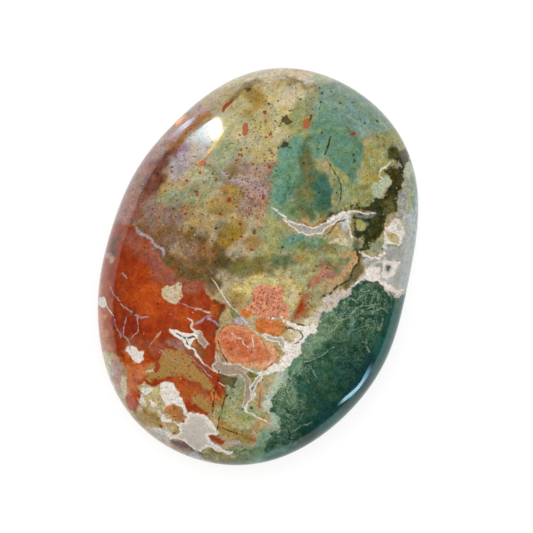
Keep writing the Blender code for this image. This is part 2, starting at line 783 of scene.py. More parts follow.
@dataclass(frozen=True)
class Palette:
    """Lays washes over a tint, with edges that wander."""

    base: Tint
    washes: tuple[Wash, ...]
    seed: int
    wander: float = 4.0
    flutter: float = 3.2
    mottle: float = 14.0
    crispness: float = 0.68

    def wandered(self, places: np.ndarray) -> np.ndarray:
        """Places moved a little, so that soft edges aren't smooth ovals.

        Args:
            places: Places in the photograph, one row each.

        Returns:
            The moved places.
        """
        moved = places.copy()
        for axis in range(2):
            slow = SoftNoise(self.seed + axis, 26.0).at(places)
            quick = SoftNoise(self.seed + 5 + axis, 9.0).at(places)
            quickest = SoftNoise(self.seed + 8 + axis, 4.4).at(places)
            moved[:, axis] += self.wander * slow + self.flutter * (quick + 0.7 * quickest)
        return moved

    def grained(self, places: np.ndarray, colour: np.ndarray) -> np.ndarray:
        """Breaks washed colours up into small patches that are lighter, darker, warmer or cooler.

        Args:
            places: Places on the stone's skin, one row each.
            colour: Their smooth colours.

        Returns:
            Their grained colours.
        """
        light = 0.4 * SoftNoise(self.seed + 21, 10.0).at(places)
        light += 0.7 * np.tanh(2.5 * SoftNoise(self.seed + 22, 4.6).at(places))
        light += 0.8 * SoftNoise(self.seed + 23, 2.4).at(places)
        warmth = SoftNoise(self.seed + 24, 13.0).at(places)
        warmth += 0.8 * np.tanh(2.5 * SoftNoise(self.seed + 25, 5.4).at(places))
        blush = SoftNoise(self.seed + 26, 9.0).at(places)
        shift = np.stack((light + 0.45 * warmth, light - 0.35 * blush, light - 0.7 * warmth), axis=1)
        scale = 0.35 + colour.mean(axis=1, keepdims=True) / 200
        return np.clip(colour + self.mottle * scale * shift, 4, 250)

    def paint(self, places: np.ndarray) -> np.ndarray:
        """The smooth colours at some places, in sRGB.

        Args:
            places: Places in the photograph, one row each.

        Returns:
            One colour for each place.
        """
        moved = self.wandered(places)
        colour = np.tile(np.array(self.base.value, float), (len(places), 1))
        for wash in self.washes:
            blur = wash.blur * self.crispness
            away = wash.mark.reach(moved, blur)
            share = wash.strength * (1 - smooth_step(-blur, blur, away))
            near = share > 0
            weight = share[near][:, None]
            colour[near] = colour[near] * (1 - weight) + np.array(wash.tint.value) * weight
        return colour

    def laid_on(self, sheet: Sheet) -> np.ndarray:
        """The grained colours of a sheet's points, in linear light."""
        return linear_light(sheet.grain(self.grained, sheet.spread(self.paint)))


def amounts(base: float, dabs: tuple[Dab, ...], places: np.ndarray) -> np.ndarray:
    """An amount at some places, from soft dabs over a base.

    Args:
        base: The amount where no dab lies.
        dabs: The dabs, in order.
        places: Places in the photograph, one row each.

    Returns:
        One amount for each place.
    """
    total = np.full(len(places), base)
    for dab in dabs:
        share = 1 - smooth_step(-dab.blur, dab.blur, dab.mark.reach(places, dab.blur))
        total += (dab.amount - total) * share
    return total


@dataclass(frozen=True)
class Bed:
    """A crisp-edged zone of the stone with clouds of its own."""

    name: str
    marks: tuple[Mark, ...]
    palette: Palette
    edge_mm: float = 0.16
    wobble_mm: float = 0.5
    lumps_mm: float = 0.0


@dataclass(frozen=True)
class Inlay:
    """Small patches of one finish, all on one layer."""

    name: str
    tint: Tint
    second: Tint
    marks: tuple[Mark, ...]
    edge_mm: float = 0.12
    wobble_mm: float = 0.32
    core: Tint | None = None
    core_mm: float = 0.35
    strength: float = 1.0
    lumps_mm: float = 0.0


@dataclass(frozen=True)
class Threads:
    """Thin lines of one tint, such as healed cracks."""

    name: str
    tint: Tint
    lines: tuple[Stroke, ...]
    strength: float = 0.8
    fray: float = 0.55


class Value:
    """One number in a shader, with arithmetic that adds its Math nodes."""

    def __init__(self, sheet: "ShaderSheet", socket: bpy.types.NodeSocket) -> None:
        """Wraps an output socket of a sheet."""
        self.sheet = sheet
        self.socket = socket

    def maths(self, operation: str, *others: "Value | float") -> "Value":
        """Adds a Math node on this value and others."""
        return self.sheet.maths(operation, self, *others)

    def __add__(self, other: "Value | float") -> "Value":
        """This plus another."""
        return self.maths("ADD", other)

    def __radd__(self, other: float) -> "Value":
        """A number plus this."""
        return self.maths("ADD", other)

    def __sub__(self, other: "Value | float") -> "Value":
        """This less another."""
        return self.maths("SUBTRACT", other)

    def __rsub__(self, other: float) -> "Value":
        """A number less this."""
        return self.sheet.maths("SUBTRACT", other, self)

    def __mul__(self, other: "Value | float") -> "Value":
        """This times another."""
        return self.maths("MULTIPLY", other)

    def __rmul__(self, other: float) -> "Value":
        """A number times this."""
        return self.maths("MULTIPLY", other)

    def __abs__(self) -> "Value":
        """The size of this, whatever its sign."""
        return self.maths("ABSOLUTE")

    def step(self, low: float, high: float) -> "Value":
        """Rises smoothly from 0 at low to 1 at high, or falls if low is above high."""
        settings = {"interpolation_type": "SMOOTHSTEP", "clamp": True}
        falls = low > high
        ends = (high, low) if falls else (low, high)
        targets = (1.0, 0.0) if falls else (0.0, 1.0)
        inputs = {
            "Value": self,
            "From Min": ends[0],
            "From Max": ends[1],
            "To Min": targets[0],
            "To Max": targets[1],
        }
        return Value(self.sheet, self.sheet.node("ShaderNodeMapRange", settings, inputs).outputs[0])


class ShaderSheet:
    """The node tree of one material."""

    def __init__(self, material: bpy.types.Material) -> None:
        """Clears a material's nodes and keeps its tree."""
        material.use_nodes = True
        self.tree = material.node_tree
        self.tree.nodes.clear()
        self.coordinates = self.node("ShaderNodeTexCoord", {}, {}).outputs["Object"]
        self.stirred = self.coordinates

    def node(
        self, kind: str, settings: dict[str, object], inputs: dict[str | int, object]
    ) -> bpy.types.Node:
        """Adds one node.

        Args:
            kind: The node's type.
            settings: Properties that are set before its sockets.
            inputs: Values or links of its sockets, by name or number.

        Returns:
            The node.
        """
        made = self.tree.nodes.new(kind)
        for name, setting in settings.items():
            setattr(made, name, setting)
        for key, given in inputs.items():
            if isinstance(given, Value):
                self.tree.links.new(given.socket, made.inputs[key])
            elif isinstance(given, bpy.types.NodeSocket):
                self.tree.links.new(given, made.inputs[key])
            else:
                made.inputs[key].default_value = given
        return made

    def maths(self, operation: str, *terms: "Value | float") -> Value:
        """One Math node on some values."""
        made = self.node("ShaderNodeMath", {"operation": operation}, dict(enumerate(terms)))
        return Value(self, made.outputs[0])

    def vector(self, operation: str, inputs: dict[str | int, object]) -> bpy.types.NodeSocket:
        """One Vector Math node on some colours or places."""
        return self.node("ShaderNodeVectorMath", {"operation": operation}, inputs).outputs[0]

    def mix(self, share: Value, first: object, second: object, blend: str = "MIX") -> object:
        """Mixes a share of a second colour into a first one, in one of Blender's ways."""
        settings = {"data_type": "RGBA", "blend_type": blend}
        return self.node("ShaderNodeMix", settings, {0: share, 6: first, 7: second}).outputs[2]

    def amount(self, name: str) -> Value:
        """A number kept on the mesh."""
        made = self.node("ShaderNodeAttribute", {"attribute_name": name}, {})
        return Value(self, made.outputs["Fac"])

    def paint(self, name: str) -> bpy.types.NodeSocket:
        """A colour kept on the mesh."""
        return self.node("ShaderNodeAttribute", {"attribute_name": name}, {}).outputs["Color"]

    def place(
        self, start: bpy.types.NodeSocket, grain_mm: float, shift: float
    ) -> bpy.types.NodeSocket:
        """A place counted in grains of some size, and moved so that two patterns differ."""
        scale = (1 / (grain_mm * MM),) * 3
        return self.vector("MULTIPLY_ADD", {0: start, 1: scale, 2: (shift, shift * 0.7, -shift)})

    def noise(self, grain_mm: float, detail: float, shift: float, twist: float = 0.0) -> Value:
        """Cloudy noise.

        Args:
            grain_mm: The size of its largest features.
            detail: How many finer layers it has.
            shift: Moves it, so that two noises differ.
            twist: How far it is drawn into swirls.

        Returns:
            The noise, about 0.5 on average.
        """
        inputs = {
            "Vector": self.place(self.coordinates, grain_mm, shift),
            "Scale": 1.0,
            "Detail": detail,
            "Roughness": 0.55,
            "Distortion": twist,
        }
        return Value(self, self.node("ShaderNodeTexNoise", {}, inputs).outputs[0])

    def stir(self, grain_mm: float, amount_mm: float, shift: float) -> None:
        """Draws the places that grains are laid out in into ragged shapes.

        Args:
            grain_mm: The size of the noise that draws them.
            amount_mm: How far it draws them.
            shift: Moves the noise, so that it differs from others.
        """
        inputs = {"Vector": self.place(self.coordinates, grain_mm, shift), "Scale": 1.0, "Detail": 2.0}
        cloud = self.node("ShaderNodeTexNoise", {}, inputs).outputs["Color"]
        reach = (2 * amount_mm * MM,) * 3
        self.stirred = self.vector("MULTIPLY_ADD", {0: cloud, 1: reach, 2: self.coordinates})

    def grains(self, pitch_mm: float, shift: float) -> tuple[Value, Value, Value]:
        """Scattered round grains.

        Args:
            pitch_mm: The size of the cells that hold one grain each.
            shift: Moves them, so that two sets differ.

        Returns:
            The distance to the nearest grain in cells, and two random numbers of its cell.
        """
        inputs = {"Vector": self.place(self.stirred, pitch_mm, shift), "Scale": 1.0}
        made = self.node("ShaderNodeTexVoronoi", {}, inputs)
        chances = self.node("ShaderNodeSeparateColor", {}, {0: made.outputs["Color"]}).outputs
        return Value(self, made.outputs["Distance"]), Value(self, chances[0]), Value(self, chances[1])

    def surface(self, kind: str, inputs: dict[str | int, object]) -> None:
        """Adds the shader that the material's surface takes."""
        shader = self.node(kind, {}, inputs)
        self.node("ShaderNodeOutputMaterial", {}, {"Surface": shader.outputs[0]})


@dataclass(frozen=True)
class Specks:
    """Scattered grains of one tint, thicker where the stone's amount of them is higher."""

    name: str
    tint: Tint
    pitch_mm: float
    shift: float
    dabs: tuple[Dab, ...]
    least: float = 0.14
    most: float = 0.34
    base: float = 0.0
    strength: float = 0.9


@dataclass(frozen=True)
class Pattern:
    """Everything that is painted on the stone, from the ground up."""

    ground: Palette
    beds: tuple[Bed, ...]
    inlays: tuple[Inlay, ...]
    threads: tuple[Threads, ...]
    specks: tuple[Specks, ...]
    crusts: tuple[Inlay, ...]
    spots: tuple[Inlay, ...]
    moss: tuple[Dab, ...]
    blotches: tuple[Dab, ...]


@dataclass(frozen=True)
class JasperFinish:
    """Polished jasper: mottled colour under a thin glassy polish."""

    gain: float = 0.945
    veil: float = 0.012
    darkest: float = 0.004
    brightness: float = 1.03
    roughness: float = 0.075
    roughness_spread: float = 0.07
    pit_roughness: float = 0.12
    refraction: float = 1.54
    relief: float = 1.6e-6
    # Each noise: its name, grain in mm, detail, shift and twist
    noises: tuple[tuple[str | float, ...], ...] = (
        ("fog", 5.0, 3.0, 3.1, 0.4),
        ("cloud", 2.2, 4.0, 11.7, 0.6),
        ("patch", 0.95, 4.0, 7.9, 0.3),
        ("grain", 0.34, 2.0, 5.3),
        ("dust", 0.17, 1.0, 15.3),
        ("edge", 1.1, 4.0, 27.1),
        ("ragged", 0.55, 4.0, 39.7),
    )
    # How much each noise lightens and darkens the colour
    swells: tuple[tuple[str, float], ...] = (
        ("fog", 0.25), ("patch", 0.8), ("grain", 1.35), ("dust", 1.0),
    )
    # Blotches: the noise that places them, where it starts and is full, and what they multiply by
    blotches: tuple[tuple[str, float, float, tuple[float, ...]], ...] = (
        ("cloud", 0.57, 0.63, (1.0, 0.90, 0.76, 1.0)),
        ("patch", 0.42, 0.36, (0.86, 0.98, 0.95, 1.0)),
        ("ragged", 0.56, 0.62, (0.70, 0.66, 0.60, 1.0)),
    )
    # Strands of moss: their size in mm, shift, tint and strength
    strands: tuple[tuple[float, float, Tint, float], ...] = (
        (1.1, 21.0, Tint.MOSS, 0.75),
        (0.9, 47.0, Tint.DEEP_PINE, 0.7),
        (0.8, 33.0, Tint.MINT, 0.85),
    )
    # The lumps that edges break up into: their size in mm and shift
    lumps: tuple[float, float] = (0.5, 51.0)
    # The grains' places are stirred by a noise: its size and reach in mm, and its shift
    stir: tuple[float, float, float] = (0.5, 0.16, 61.0)

    def build(self, pattern: Pattern) -> bpy.types.Material:
        """Makes the stone's material.

        Args:
            pattern: What is painted on the stone.

        Returns:
            The material.
        """
        material = bpy.data.materials.new("polished_jasper")
        layers = JasperLayers(ShaderSheet(material), self)
        for bed in pattern.beds:
            layers.lay_bed(bed)
        layers.grow_moss()
        for inlay in pattern.inlays:
            layers.lay_patches(inlay)
        for specks in pattern.specks:
            layers.scatter(specks)
        for inlay in pattern.crusts:
            layers.lay_patches(inlay)
        for threads in pattern.threads:
            layers.draw_lines(threads)
        layers.mottle()
        for inlay in pattern.spots:
            layers.lay_patches(inlay)
        layers.polish()
        return material


class JasperLayers:
    """The jasper's shader while its layers of colour are laid over one another."""

    def __init__(self, sheet: ShaderSheet, finish: JasperFinish) -> None:
        """Starts from the ground, with the noises that all layers share."""
        self.sheet = sheet
        self.finish = finish
        self.noises = {name: sheet.noise(*plan) for name, *plan in finish.noises}
        sheet.stir(*finish.stir)
        self.noises["lumps"] = sheet.grains(*finish.lumps)[0]
        self.colour = sheet.paint("ground")
        self.pitted = None

    def lay(self, share: Value, over: object, blend: str = "MIX") -> None:
        """Mixes a share of a tint or a colour over the colour so far."""
        self.colour = self.sheet.mix(share, self.colour, over, blend)

    def field(self, layer: Bed | Inlay, wander: Value) -> Value:
        """The distance to a layer's edge, in millimetres, with a natural waver.

        Args:
            layer: The layer.
            wander: The noise that it wavers by.

        Returns:
            The distance.
        """
        field = self.sheet.amount(layer.name) + (wander - 0.5) * (2.4 * layer.wobble_mm)
        if layer.lumps_mm:
            field = field + (self.noises["lumps"] - 0.42) * layer.lumps_mm
        return field

    def lay_bed(self, bed: Bed) -> None:
        """Lays one bed in its own colours."""
        inside = self.field(bed, self.noises["edge"]).step(bed.edge_mm, -bed.edge_mm)
        self.lay(inside, self.sheet.paint(bed.name + "_paint"))

    def lay_patches(self, inlay: Inlay) -> None:
        """Lays one layer of patches, mottled in two tints, with a core deeper in.

        Args:
            inlay: The patches.
        """
        field = self.field(inlay, self.noises["edge"] * 0.45 + self.noises["ragged"] * 0.55)
        if inlay.lumps_mm:
            blend = self.noises["ragged"].step(0.48, 0.66)
        else:
            blend = self.noises["patch"].step(0.45, 0.62)
        finish = self.sheet.mix(blend, inlay.tint.socket(), inlay.second.socket())
        if inlay.core is not None:
            depth = field.step(-0.5 * inlay.core_mm, -1.5 * inlay.core_mm)
            finish = self.sheet.mix(depth, finish, inlay.core.socket())
        self.lay(field.step(inlay.edge_mm, -inlay.edge_mm) * inlay.strength, finish)

    def draw_lines(self, threads: Threads) -> None:
        """Draws thin lines that waver, and fade where the ragged noise is low.

        Args:
            threads: The lines.
        """
        fray = threads.fray
        lean = (self.noises["patch"] - 0.5) * (4 * fray) + (self.noises["grain"] - 0.5) * (2 * fray)
        beside = abs(self.sheet.amount(threads.name + "_side") + lean)
        near = self.sheet.amount(threads.name + "_gap").step(2.6, 1.5)
        broken = self.noises["ragged"].step(0.36, 0.52)
        mask = beside.step(1.35, 0.5) * near * (0.25 + broken) * threads.strength
        self.lay(mask.maths("MINIMUM", 1.0), threads.tint.socket())

    def scatter(self, specks: Specks) -> None:
        """Scatters grains, which pit the polish a little.

        Args:
            specks: The grains.
        """
        distance, size, chance = self.sheet.grains(specks.pitch_mm, specks.shift)
        radius = specks.least + size * (specks.most - specks.least)
        inside = (radius - distance).step(-0.05, 0.07)
        present = (self.sheet.amount(specks.name) - chance).step(0.0, 0.03)
        mask = inside * present * specks.strength
        self.lay(mask, specks.tint.socket())
        self.pitted = mask if self.pitted is None else self.pitted.maths("MAXIMUM", mask)

    def grow_moss(self) -> None:
        """Grows pale and dark filaments of moss in the green bed."""
        gate = self.noises["patch"].step(0.36, 0.56) * self.sheet.amount("mossy")
        for grain_mm, shift, tint, strength in self.finish.strands:
            strand = abs(self.sheet.noise(grain_mm, 4.0, shift, 1.9) * 2 - 1).step(0.075, 0.015)
            self.lay(strand * gate * strength, tint.socket())

    def mottle(self) -> None:
        """Breaks the smooth colour up into the stone's clouds and grains."""
        blotchy = self.sheet.amount("blotchy")
        for name, start, full, tone in self.finish.blotches:
            self.lay(self.noises[name].step(start, full) * blotchy, tone, "MULTIPLY")
        swell = sum((self.noises[name] - 0.5) * share for name, share in self.finish.swells)
        bright = self.finish.brightness + swell * (0.35 + blotchy)
        sheet = self.sheet
        scaled = sheet.vector("SCALE", {0: self.colour, "Scale": bright * self.finish.gain})
        cleared = sheet.vector("SUBTRACT", {0: scaled, 1: (self.finish.veil,) * 3})
        self.colour = sheet.vector("MAXIMUM", {0: cleared, 1: (self.finish.darkest,) * 3})

    def polish(self) -> None:
        """Puts the polish over the colours."""
        finish = self.finish
        rough = finish.roughness + self.noises["patch"].step(0.45, 0.8) * finish.roughness_spread
        relief = self.noises["cloud"] * 0.6 + self.noises["grain"] * 0.25 - self.pitted * 0.35
        inputs = {"Strength": 1.0, "Distance": finish.relief, "Height": relief}
        bump = self.sheet.node("ShaderNodeBump", {}, inputs)
        inputs = {
            "Base Color": self.colour,
            "Roughness": rough + self.pitted * finish.pit_roughness,
            "IOR": finish.refraction,
            "Normal": bump.outputs[0],
        }
        self.sheet.surface("ShaderNodeBsdfPrincipled", inputs)


@dataclass
class PalmStone:
    """The stone: one polished pebble."""

    form: StoneForm
    view: PhotoView
    pattern: Pattern
    finish: JasperFinish
    blend_px: tuple[float, float] = (5.0, 30.0)
    drift_px: float = 24.0
    middle_px: tuple[float, float] = (258.0, 266.0)
    # How far the distances to the edges of beds, and of patches and threads, are measured
    bed_span_px: float = 14.0
    patch_span_px: float = 8.0
    # What makes edges ragged or rippled: a seed, and the waves and reaches of the noise in pixels
    ragged: tuple[int, tuple[tuple[float, float], ...]] = (401, ((13.0, 1.6), (5.5, 1.5)))
    rippled: tuple[int, tuple[tuple[float, float], ...]] = (431, ((9.0, 0.9), (4.0, 0.6)))
    mesh: bpy.types.Object = field(init=False)

    def unfolded(self, places: np.ndarray, hidden: np.ndarray) -> tuple[np.ndarray, np.ndarray]:
        """Turns hidden places outwards over the stone's outline, as if its skin were rolled out.

        Args:
            places: Where the stone's points fall in the photograph.
            hidden: Which points face away from the camera.

        Returns:
            The places with the hidden ones outside the outline, and how far in each one was.
        """
        offset = places - self.middle_px
        angle = np.arctan2(offset[:, 1], offset[:, 0])
        reach = np.hypot(offset[:, 0], offset[:, 1])
        bins = 360
        slot = ((angle / (2 * math.pi) + 1) * bins).astype(int) % bins
        edge = np.zeros(bins)
        np.maximum.at(edge, slot, reach)
        stops = np.arange(-1, bins + 1)
        turn = (angle / (2 * math.pi) % 1) * bins - 0.5
        rim = np.interp(turn, stops, edge[stops % bins])
        depth = np.where(hidden, np.maximum(rim - reach, 0), 0)
        scale = np.where(hidden, (rim + depth) / np.maximum(reach, 1e-6), 1)
        return offset * scale[:, None] + self.middle_px, depth

    def sheet(self) -> Sheet:
        """Where the points of the stone's mesh take their colours from."""
        points, normals = mesh_points(self.mesh.data)
        places = self.view.pixels(points)
        hidden = ((self.view.eye() - points) * normals).sum(axis=1) < 0
        front, depth = self.unfolded(places, hidden)
        wander = SoftNoise(301, 22.0).at(places) * 5
        share = smooth_step(*self.blend_px, depth + wander) * (depth > 2)
        back = places.copy()
        for axis in range(2):
            back[:, axis] += SoftNoise(311 + axis, 85.0).at(places) * self.drift_px * share
        drop = (points[:, 2].max() - points[:, 2]) / MM * self.view.px_per_mm
        reach = np.maximum(np.hypot(*(places - self.middle_px).T), 1)
        outwards = 1 + drop * smooth_step(30, 120, reach) / reach
        skin = self.middle_px + (places - self.middle_px) * outwards[:, None]
        return Sheet(front, back, skin, share)

    def nearest_edge(self, sheet: Sheet, shapes: tuple[Mark, ...], span: float) -> np.ndarray:
        """The distance to the nearest of some marks, in millimetres.

        Args:
            sheet: Where the stone's points take their colours from.
            shapes: The marks.
            span: The distance in pixels past which it doesn't matter.

        Returns:
            One distance for each point, below zero inside a mark.
        """

        def rule(places: np.ndarray) -> np.ndarray:
            """The least of the marks' distances."""
            away = np.full(len(places), span)
            for shape in shapes:
                away = np.minimum(away, shape.reach(places, span))
            return away

        return sheet.spread(rule) / self.view.px_per_mm

    def nearest_thread(self, sheet: Sheet, lines: tuple[Stroke, ...]) -> tuple[np.ndarray, np.ndarray]:
        """Measures the stone's points against thin lines.

        Args:
            sheet: Where the points take their colours from.
            lines: The lines.

        Returns:
            How many half widths a point is to the side of the nearest line, and how many pixels
            it is from it.
        """
        span = self.patch_span_px

        def rule(places: np.ndarray) -> np.ndarray:
            """The side and the gap, as two columns."""
            found = np.full((len(places), 2), span)
            for line in lines:
                low, high = line.corners()
                near = np.flatnonzero(np.all((places > low - span) & (places < high + span), axis=1))
                away, side, half = line.nearest(places[near])
                closer = away < found[near, 1]
                chosen = near[closer]
                found[chosen, 0] = (side * away / half)[closer]
                found[chosen, 1] = away[closer]
            return found

        found = sheet.spread(rule)
        return found[:, 0], found[:, 1]

    def paint(self) -> None:
        """Lays the pattern's layers on the mesh."""
        data = self.mesh.data
        sheet = self.sheet()
        ragged = sheet.stirred(*self.ragged)
        rippled = sheet.stirred(*self.rippled)
        keep(data, "ground", self.pattern.ground.laid_on(sheet))
        for bed in self.pattern.beds:
            keep(data, bed.name, self.nearest_edge(ragged, bed.marks, self.bed_span_px))
            keep(data, bed.name + "_paint", bed.palette.laid_on(sheet))
        for inlay in self.pattern.inlays + self.pattern.crusts:
            keep(data, inlay.name, self.nearest_edge(ragged, inlay.marks, self.patch_span_px))
        for inlay in self.pattern.spots:
            keep(data, inlay.name, self.nearest_edge(rippled, inlay.marks, self.patch_span_px))
        for threads in self.pattern.threads:
            side, gap = self.nearest_thread(rippled, threads.lines)
            keep(data, threads.name + "_side", side)
            keep(data, threads.name + "_gap", gap)
        for specks in self.pattern.specks:
            keep(data, specks.name, sheet.spread(lambda at, s=specks: amounts(s.base, s.dabs, at)))
        keep(data, "mossy", sheet.spread(lambda at: amounts(0.0, self.pattern.moss, at)))
        keep(data, "blotchy", sheet.spread(lambda at: amounts(0.5, self.pattern.blotches, at)))

    def build(self) -> bpy.types.Object:
        """Makes the stone, paints it and gives it to the frame.

        Returns:
            The stone's object.
        """
        self.mesh = self.form.build("jasper_palm_stone")
        self.paint()
        self.mesh.data.materials.append(self.finish.build(self.pattern))
        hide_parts("palm_stone")
        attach(self.mesh, "root")
        self.mesh.data.calc_loop_triangles()
        LOG.info("stone: %d triangles", len(self.mesh.data.loop_triangles))
        return self.mesh


class Glow(Enum):
    """The lights that the polish mirrors, in red, green and blue."""

    WHITE = (24.0, 24.0, 24.0)
    AQUA = (5.0, 9.0, 12.0)
    LILAC = (2.7, 2.7, 4.5)
    FAINT = (0.5, 0.45, 1.0)
    NONE = (0.0, 0.0, 0.0)
    GOLD = (26.0, 14.0, 1.2)
    PALE_GOLD = (22.0, 19.0, 8.0)
    PEACH = (4.0, 1.7, 0.9)
    STREAK = (6.5, 7.5, 9.5)
    SKY = (7.0, 12.0, 15.0)
    DUSK = (2.6, 5.0, 8.5)


@dataclass(frozen=True)
class Gleam:
    """The mirror image of a light on the polish, between an outer and an inner edge."""

    name: str
    outer: tuple[float, ...]
    inner: tuple[float, ...]
    outer_glow: tuple[Glow, ...]
    inner_glow: tuple[Glow, ...] = ()

    def row(self, inner: bool, steps: int = 3) -> tuple[np.ndarray, np.ndarray]:
        """Even places along one edge of the image, and the light at each of them.

        Args:
            inner: Whether it is the inner edge, which without a light of its own has the outer's.
            steps: How many pieces each stretch between two given places has.

        Returns:
            The places and their glows, one row each.
        """
        places = curve_through(pairs(self.inner if inner else self.outer), closed=False, steps=steps)
        glow = self.inner_glow if inner and self.inner_glow else self.outer_glow
        stops = np.linspace(0, 1, len(places))
        keys = np.linspace(0, 1, len(glow))
        parts = zip(*(light.value for light in glow))
        return places, np.array([np.interp(stops, keys, part) for part in parts]).T


@dataclass
class Studio:
    """Plain soft studio: a pale floor, a broad light above and the panels that the polish mirrors."""

    view: PhotoView
    gleams: tuple[Gleam, ...]
    panel_distance: float = 0.6
    panel_clearance: float = 1.5 * MM
    panel_rows: int = 5
    floor_half: float = 2.5
    floor_diffuse: float = 0.30
    floor_glow: float = 0.76
    lamp_height: float = 0.9
    lamp_size: float = 1.1
    lamp_power: float = 11.3
    world_glow: tuple[float, float, float] = (0.08, 0.09, 0.10)

    def build_floor(self) -> None:
        """Makes the floor, which glows a little so that no shadow greys it."""
        data = bpy.data.meshes.new("floor")
        half = self.floor_half
        corners = [(-half, -half, 0), (half, -half, 0), (half, half, 0), (-half, half, 0)]
        data.from_pydata(corners, [], [(0, 1, 2, 3)])
        floor = placed("floor", data)
        material = bpy.data.materials.new("pale_floor")
        inputs = {
            "Base Color": (self.floor_diffuse,) * 3 + (1.0,),
            "Roughness": 0.9,
            "Specular IOR Level": 0.0,
            "Emission Color": (1.0, 1.0, 1.0, 1.0),
            "Emission Strength": self.floor_glow,
        }
        ShaderSheet(material).surface("ShaderNodeBsdfPrincipled", inputs)
        data.materials.append(material)

    def build_lamp(self) -> None:
        """Hangs the broad light, which the polish doesn't mirror."""
        data = bpy.data.lights.new("overhead", "AREA")
        data.shape = "DISK"
        data.size = self.lamp_size
        data.energy = self.lamp_power
        data.color = (1.0, 1.0, 0.98)
        lamp = placed("overhead", data)
        lamp.location = (0, 0, self.lamp_height)
        lamp.visible_glossy = False

    def build_world(self) -> None:
        """Dims the room around the stone."""
        world = bpy.data.worlds.new("dim_room")
        world.use_nodes = True
        background = world.node_tree.nodes["Background"]
        background.inputs["Color"].default_value = (*self.world_glow, 1.0)
        background.inputs["Strength"].default_value = 1.0
        bpy.context.scene.world = world

    def mirrored(self, places: np.ndarray, points: np.ndarray, normals: np.ndarray) -> np.ndarray:
        """Where a light has to hang to be mirrored at some places of the photograph.

        Args:
            places: Places in the photograph, one row each.
            points: The stone's points that face the camera.
            normals: The normals there.

        Returns:
            One point in the room for each place.
        """
        seen = self.view.pixels(points)
        eye = self.view.eye()
        hung = []
        for place in places:
            away = np.hypot(*(seen - place).T)
            near = np.argsort(away)[:6]
            weight = 1 / (away[near] + 0.2) ** 2
            weight = (weight / weight.sum())[:, None]
            point = (points[near] * weight).sum(axis=0)
            normal = (normals[near] * weight).sum(axis=0)
            normal /= np.linalg.norm(normal)
            ray = point - eye
            ray /= np.linalg.norm(ray)
            ray -= 2 * (ray @ normal) * normal
            along = ray @ point
            travel = -along + math.sqrt(along ** 2 + self.panel_distance ** 2 - point @ point)
            if ray[2] < 0:
                travel = min(travel, (point[2] - self.panel_clearance) / -ray[2])
            hung.append(point + ray * travel)
        return np.array(hung)

    def build_panel(self, gleam: Gleam, points: np.ndarray, normals: np.ndarray) -> None:
        """Hangs one panel so that the stone mirrors it where the photograph shows it.

        Args:
            gleam: The mirror image.
            points: The stone's points that face the camera.
            normals: The normals there.
        """
        outer, outer_glow = gleam.row(inner=False)
        inner, inner_glow = gleam.row(inner=True)
        length = len(outer)
        shares = np.linspace(0, 1, self.panel_rows)[:, None, None]
        places = (outer * (1 - shares) + inner * shares).reshape(-1, 2)
        glows = (outer_glow * (1 - shares) + inner_glow * shares).reshape(-1, 3)
        numbers = np.arange(len(places)).reshape(-1, length)
        first = numbers[:-1, :-1].ravel()
        faces = np.stack((first, first + 1, first + length + 1, first + length), axis=1)
        data = bpy.data.meshes.new(gleam.name)
        data.from_pydata(self.mirrored(places, points, normals).tolist(), [], faces.tolist())
        keep(data, "glow", glows)
        panel = placed(gleam.name, data)
        material = bpy.data.materials.new(gleam.name)
        sheet = ShaderSheet(material)
        sheet.surface("ShaderNodeEmission", {"Color": sheet.paint("glow")})
        data.materials.append(material)
        panel.visible_camera = False
        panel.visible_diffuse = False
        panel.visible_shadow = False

    def build(self, stone: bpy.types.Object) -> None:
        """Makes the floor, the lights and the dim room around the stone.

        Args:
            stone: The stone whose polish mirrors the panels.
        """
        scene = bpy.context.scene
        scene.view_settings.view_transform = "Standard"
        scene.view_settings.look = "None"
        self.build_floor()
        self.build_lamp()
        self.build_world()
        points, normals = mesh_points(stone.data)
        facing = ((self.view.eye() - points) * normals).sum(axis=1) > 0
        for gleam in self.gleams:
            self.build_panel(gleam, points[facing], normals[facing])
        LOG.info("studio: floor, one lamp and %d panels", len(self.gleams))


